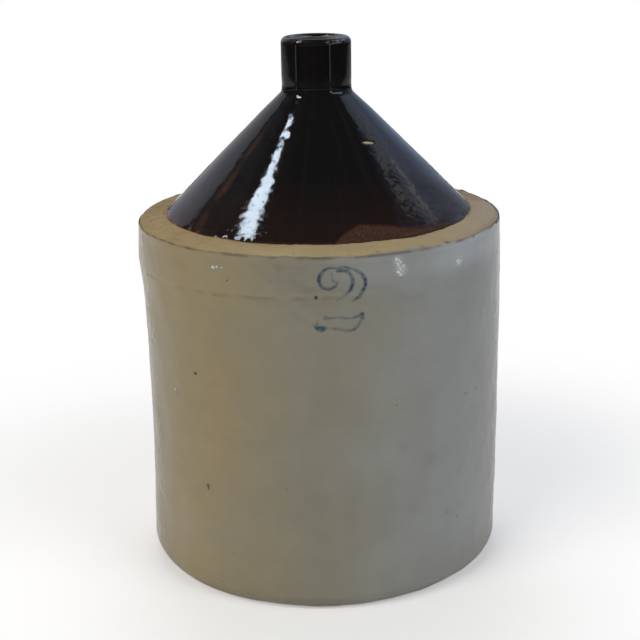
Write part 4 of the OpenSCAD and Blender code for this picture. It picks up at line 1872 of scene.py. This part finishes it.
SPECK_MARKS = (
    Mark(-7.0, 199.4, 1.35), Mark(-47.5, 144.7, 1.35), Mark(-44.5, 73.8, 1.15), Mark(-44.3, 71.9, 1.0),
    Mark(-38.4, 196.0, 0.45), Mark(-33.6, 206.5, 0.7), Mark(16.7, 130.6, 0.5), Mark(49.6, 125.2, 0.8),
    Mark(43.2, 125.8, 0.6), Mark(-27.1, 224.0, 0.6), Mark(35.7, 52.0, 0.6),
)
BEAD_MARKS = (
    Mark(-38.2, 213.2, 1.5), Mark(-37.0, 213.6, 1.1), Mark(-35.4, 213.7, 0.6), Mark(16.6, 218.4, 1.5),
    Mark(17.7, 217.2, 1.7), Mark(17.0, 215.8, 1.5), Mark(18.9, 213.9, 1.5), Mark(17.6, 212.9, 1.3),
    Mark(17.2, 210.6, 1.6), Mark(18.0, 209.3, 1.3), Mark(39.3, 210.2, 2.6), Mark(40.0, 209.6, 2.2),
    Mark(46.1, 220.5, 0.9), Mark(49.0, 221.0, 0.8), Mark(-58.4, 128.8, 1.0),
)


@dataclass(frozen=True)
class GrainSet:
    """Small lens-shaped grains that stand a little out of the wall glaze, as one piece."""

    cad: CadSizes
    name: str
    marks: tuple[Mark, ...]
    seed: int
    thickness: float
    scattered: int = 0
    scattered_z: tuple[float, float] = (14.0, 212.0)
    scattered_size: tuple[float, float] = (0.18, 0.42)

    def build(self, coat: bpy.types.Object, finish: bpy.types.Material) -> None:
        """Find each grain's place on the coat and set it there.

        Args:
            coat: The wall glaze.
            finish: The grains' material.
        """
        rng = np.random.default_rng(self.seed)
        wanted = [(mark.turn, mark.height, mark.width) for mark in self.marks]
        for _ in range(self.scattered):
            place = rng.uniform(-180, 180), rng.uniform(*self.scattered_z)
            wanted.append((*place, rng.uniform(*self.scattered_size)))
        found = []
        for turn, height, size in wanted:
            inward = -direction(turn, 0)
            start = Vector((0, 0, height * MM)) - inward * (self.cad.coat_r + 10) * MM
            hit, place, normal, _ = coat.ray_cast(start, inward)
            if hit:
                found.append((*place, *normal, size * MM))
        table = np.array(found)
        source = point_mesh(table[:, :3], {"normal": table[:, 3:6], "size": table[:, 6]})
        values = {"Seed": self.seed, "Thickness": self.thickness, "Finish": finish}
        finish_piece(Grains().run(self.name, source, values), Slot.PALE_GLAZE)


@dataclass(frozen=True)
class BeadWithPaintedGlint(Finish):
    """A thick drop of the pale glaze, glossier than the coat, painted paler and milky for its glint."""

    # Both colours paint the bead's glint: they are paler than the glaze.
    pale: Colour = (146, 149, 147)
    glint_white: Colour = (184, 187, 186)

    def make(self) -> bpy.types.Material:
        """Build the material.

        Returns:
            The material.
        """
        material, nodes, place = self.start()
        cloud = nodes.noise(place, 900.0, 2.0)
        glint_share = nodes.ramp(cloud, 0.4, 0.6)
        self.cover(nodes, nodes.mix(glint_share, self.pale, self.glint_white), 0.14, cloud, 0.10)
        return material


@dataclass(frozen=True)
class IronSpeck(Finish):
    """Dark iron that bled through the pale glaze."""

    iron: Colour = (30, 26, 18)
    rim: Colour = (60, 52, 38)

    def make(self) -> bpy.types.Material:
        """Build the material.

        Returns:
            The material.
        """
        material, nodes, place = self.start()
        cloud = nodes.noise(place, 1200.0, 2.0)
        self.cover(nodes, nodes.mix(cloud, self.iron, self.rim), 0.45, cloud, 0.05)
        return material


DAYLIGHT = (222, 239, 255)
SILVER = (238, 240, 236)


@dataclass(frozen=True)
class Lamp:
    """A soft lamp that looks at the jug."""

    name: str
    turn: float
    rise: float
    distance: float
    width: float
    height: float
    radiance: float
    colour: Colour = (255, 255, 255)
    target_z: float = 0.17
    diffuse: bool = True
    glossy: bool = True

    def build(self) -> None:
        """Set the lamp up."""
        data = bpy.data.lights.new(self.name, "AREA")
        data.shape = "RECTANGLE"
        data.size, data.size_y = self.width, self.height
        data.color = linear(*self.colour)[:3]
        data.energy = self.radiance * math.pi * self.width * self.height
        lamp = bpy.data.objects.new(self.name, data)
        away = direction(self.turn, self.rise)
        lamp.location = Vector((0, 0, self.target_z)) + away * self.distance
        lamp.rotation_euler = away.to_track_quat("Z", "Y").to_euler()
        lamp.visible_camera = False
        lamp.visible_diffuse = self.diffuse
        lamp.visible_glossy = self.glossy
        bpy.context.scene.collection.objects.link(lamp)


@dataclass(frozen=True)
class Pane:
    """A bright straight-edged stretch of the room, such as a window, that only reflections show."""

    name: str
    corners: tuple[tuple[float, float], ...]
    radiance: float
    colour: Colour
    soft: float = 0.4

    def share(self, nodes: Nodes, towards: Socket) -> Socket:
        """Build the share of the pane that a direction meets.

        Args:
            nodes: The room's nodes.
            towards: The direction.

        Returns:
            1 inside the pane, 0 outside, soft at its edges.
        """
        corners = [direction(turn, rise) for turn, rise in self.corners]
        middle = sum(corners, Vector((0, 0, 0)))
        width = math.sin(math.radians(self.soft))
        share: Any = 1.0
        for corner, following in zip(corners, corners[1:] + corners[:1]):
            side = corner.cross(following).normalized()
            if side.dot(middle) < 0:
                side.negate()
            inside = nodes.ramp(nodes.vector("DOT_PRODUCT", towards, tuple(side)), -width, width)
            share = nodes.times(share, inside)
        share.node.label = self.name
        return share


@dataclass(frozen=True)
class Studio:
    """Plain pale floor and backdrop, soft lamps, a dim room and the photo's camera."""

    lamps: tuple[Lamp, ...] = (
        Lamp("key_softbox", -48, 36, 1.9, 1.1, 1.1, 6.6, (255, 250, 238), glossy=False),
        Lamp("fill_softbox", 45, 32, 2.1, 1.1, 1.3, 4.4, (247, 250, 255), glossy=False),
        Lamp("top_softbox", 176, 68, 2.0, 1.2, 0.9, 4.2, (252, 252, 255), glossy=False),
        Lamp("back_softbox", 180, 24, 2.1, 1.2, 1.2, 3.2, (250, 250, 255), glossy=False),
        Lamp("left_gap", -75.5, -6.0, 1.5, 0.06, 0.16, 1.5, (255, 240, 240), 0.31, diffuse=False),
        Lamp("right_gap", 39.5, -6.0, 1.5, 0.05, 0.16, 1.7, (255, 248, 245), 0.31, diffuse=False),
    )
    panes: tuple[Pane, ...] = (
        Pane("left_wall", ((-128, 19.4), (-150, 38.1), (-190, 20), (-165, -15)), 0.52, (240, 242, 255), 0.8),
        Pane("left_haze", ((-138, 29), (-112, 47), (-114, 52), (-140, 36)), 0.19, (240, 244, 255), 2.5),
        Pane(
            "right_wall", ((92, 52.6), (125, 40), (175, 20), (165, -15), (100, 5)), 0.32, (225, 234, 255), 1.0
        ),
        Pane("right_haze", ((92, 43), (92, 53), (112, 50), (112, 42)), 0.26, (205, 222, 255), 2.5),
        Pane("right_sky", ((122, 54), (178, 18), (168, -11), (109, 37.5)), 0.62, (196, 216, 255), 3.0),
        Pane(
            "right_glow", ((106, 50), (114, 53), (136, 38), (130, 29), (113, 38)), 0.85, (205, 222, 255), 2.0
        ),
        Pane(
            "right_bars", ((123, 38.8), (112, 45.8), (102.5, 49.6), (102, 47.8), (115.5, 41.2)),
            0.95, SILVER, 0.7
        ),
        Pane("right_sill", ((122, 35.2), (119, 38.0), (115, 38.4), (115.5, 35.6)), 1.2, SILVER, 0.6),
        Pane("window_low", ((-104.2, 52.0), (-91.0, 58.8), (-92.2, 62.3), (-105.0, 55.3)), 25.0, DAYLIGHT),
        Pane("window_middle", ((-105.2, 55.1), (-92.2, 62.2), (-96.6, 61.9), (-104.6, 57.3)), 25.0, DAYLIGHT),
        Pane("window_top", ((-104.7, 57.2), (-98.8, 61.0), (-101.2, 61.8), (-108.8, 57.2)), 25.0, DAYLIGHT),
        Pane("left_window", ((-98, 52), (-88, 41), (-77, 31), (-84, 56), (-92, 60.5)), 14.0, DAYLIGHT),
        Pane("front_sill", ((38, 0.5), (44, 0.5), (44.5, 12), (38.5, 12)), 4.0, SILVER),
        Pane("front_window", ((41, 9), (88, 9), (88, 27), (52, 25)), 3.2, (205, 224, 255)),
    )
    floor_r: float = 7.0
    floor_colour: float = 0.93
    near_white: float = 0.35
    fade_start: float = 0.16
    fade_end: float = 0.45
    gloss_fade_start: float = 6.1
    gloss_fade_end: float = 6.5
    sheet_back: float = 1.6
    sheet_r: float = 2.2
    sheet_edge: float = 0.5
    dark_floor: float = 0.12
    backdrop_r: float = 6.5
    backdrop_h: float = 0.05
    room_level: float = 0.09
    room_colour: Colour = (236, 242, 255)
    camera_distance: float = 0.86029
    camera_z: float = 0.42129
    camera_pitch: float = 17.49
    camera_roll: float = -0.98
    lens: float = 77.85
    sensor: float = 36.0
    shift_pixels: float = -0.61

    def build(self) -> None:
        """Set up floor, backdrop, lamps, room and camera."""
        self.floor()
        self.room()
        for lamp in self.lamps:
            lamp.build()
        self.camera()
        bpy.context.scene.view_settings.view_transform = "Standard"

    def pale_material(self) -> bpy.types.Material:
        """Pale paper near the jug, plain white further off for what looks at it straight or by reflection.

        Returns:
            The material.
        """
        material = bpy.data.materials.new("studio_paper")
        material.use_nodes = True
        nodes = Nodes(material.node_tree)
        shader = material.node_tree.nodes["Principled BSDF"]
        output = material.node_tree.nodes["Material Output"]
        shader.inputs["Roughness"].default_value = 0.8
        shader.inputs["Specular IOR Level"].default_value = 0.1
        path = nodes.add("ShaderNodeLightPath").outputs
        place = nodes.add("ShaderNodeTexCoord").outputs["Object"]
        away = nodes.vector("LENGTH", place)
        off_sheet = nodes.vector("DISTANCE", place, (0, self.sheet_back, 0))
        off_sheet = nodes.ramp(off_sheet, self.sheet_r, self.sheet_r + self.sheet_edge)
        dimmed = nodes.times(path["Is Glossy Ray"], off_sheet)
        level = nodes.ramp(dimmed, 0.0, 1.0, self.floor_colour, self.dark_floor)
        nodes.feed(shader.inputs["Base Color"], nodes.grey(level))
        paling = nodes.ramp(away, self.fade_start, self.fade_end, self.near_white)
        seen = nodes.times(path["Is Camera Ray"], paling)
        shine = nodes.plus(path["Is Glossy Ray"], path["Is Transmission Ray"], clamp=True)
        mirrored = nodes.times(shine, nodes.ramp(away, self.gloss_fade_start, self.gloss_fade_end))
        share = nodes.plus(seen, mirrored, clamp=True)
        white = nodes.add("ShaderNodeEmission", {"Color": (1, 1, 1, 1), "Strength": 1.0}).outputs[0]
        mixed = nodes.add("ShaderNodeMixShader", {0: share, 1: shader.outputs[0], 2: white}).outputs[0]
        nodes.feed(output.inputs["Surface"], mixed)
        return material

    def floor(self) -> None:
        """Lay the floor and stand the backdrop round it."""
        material = self.pale_material()
        steps = 96
        angles = np.radians(np.arange(steps) * 360 / steps)
        ring = np.stack([np.cos(angles), np.sin(angles)], 1)
        low = [(x * self.floor_r, y * self.floor_r, 0) for x, y in ring]
        mesh = bpy.data.meshes.new("floor")
        mesh.from_pydata(low, [], [tuple(range(steps))])
        wall = bpy.data.meshes.new("backdrop")
        base = [(x * self.backdrop_r, y * self.backdrop_r, 0) for x, y in ring]
        top = [(x, y, self.backdrop_h) for x, y, _ in base]
        sides = [((i + 1) % steps, i, steps + i, steps + (i + 1) % steps) for i in range(steps)]
        wall.from_pydata(base + top, [], sides)
        for name, data in (("floor", mesh), ("backdrop", wall)):
            data.materials.append(material)
            put(name, data)

    def room(self) -> None:
        """Light the room dimly from its walls, darker overhead, and show it white to the camera."""
        world = bpy.data.worlds.new("room")
        world.use_nodes = True
        bpy.context.scene.world = world
        nodes = Nodes(world.node_tree)
        back = world.node_tree.nodes["Background"]
        path = nodes.add("ShaderNodeLightPath").outputs
        towards = nodes.add("ShaderNodeTexCoord").outputs["Generated"]
        plain = tuple(c * self.room_level for c in linear(*self.room_colour)[:3]) + (1,)
        nodes.feed(back.inputs["Color"], nodes.mix(path["Is Camera Ray"], plain, (1, 1, 1, 1)))
        colour = plain
        for pane in self.panes:
            lit = [c * pane.radiance for c in linear(*pane.colour)[:3]]
            colour = nodes.mix(pane.share(nodes, towards), colour, (*lit, 1))
        mirrored = nodes.add("ShaderNodeBackground", {"Color": colour, "Strength": 1.0}).outputs[0]
        inputs = {0: path["Is Glossy Ray"], 1: back.outputs[0], 2: mirrored}
        mixed = nodes.add("ShaderNodeMixShader", inputs).outputs[0]
        nodes.feed(world.node_tree.nodes["World Output"].inputs["Surface"], mixed)
        back.inputs["Strength"].default_value = 1.0

    def camera(self) -> None:
        """Stand the camera where the photo was taken from."""
        data = bpy.data.cameras.new("camera")
        data.sensor_width = self.sensor
        data.lens = self.lens
        data.shift_x = self.shift_pixels / PHOTO_PIXELS
        data.clip_start, data.clip_end = 0.01, 30.0
        camera = bpy.data.objects.new("camera", data)
        turn = math.radians(CAMERA_TURN)
        camera.matrix_world = (
            Matrix.Rotation(turn, 4, "Z")
            @ Matrix.Translation((0, -self.camera_distance, self.camera_z))
            @ Matrix.Rotation(math.radians(90 - self.camera_pitch), 4, "X")
            @ Matrix.Rotation(math.radians(self.camera_roll), 4, "Z")
        )
        bpy.context.scene.collection.objects.link(camera)
        bpy.context.scene.camera = camera


def dress_liner(finishes: Finishes) -> None:
    """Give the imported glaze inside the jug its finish.

    Args:
        finishes: The materials.
    """
    liner = frame["nodes"]["liner_glaze"]
    liner.data.materials.clear()
    liner.data.materials.append(finishes.liner_glaze)
    LOG.info("liner_glaze dressed")


def main() -> None:
    """Build the jug's pieces in order, then the studio."""
    logging.basicConfig(level=logging.INFO, format="%(name)s: %(message)s")
    cad = CadSizes.read()
    form = UnevenForm(cad)
    finishes = Finishes.make()
    wheel = Wheel()
    shoulder = Shoulder(cad, form)
    glaze = WallGlaze(cad, form, shoulder)
    Pot(cad, form).build(wheel, finishes)
    shoulder.build(wheel, finishes)
    coat = glaze.build(wheel, finishes)
    TopGlaze(cad, shoulder).build(wheel, finishes)
    StrapHandle(cad).build(finishes)
    Numeral(cad, form, glaze).build(coat, finishes)
    specks = GrainSet(cad, "iron_specks", SPECK_MARKS, seed=7, thickness=0.22, scattered=46)
    specks.build(coat, IronSpeck("iron_speck").make())
    beads = GrainSet(cad, "glaze_beads", BEAD_MARKS, seed=3, thickness=0.30)
    beads.build(coat, BeadWithPaintedGlint("bead_with_painted_glint").make())
    dress_liner(finishes)
    Studio().build()


if __name__ == "__main__":
    main()
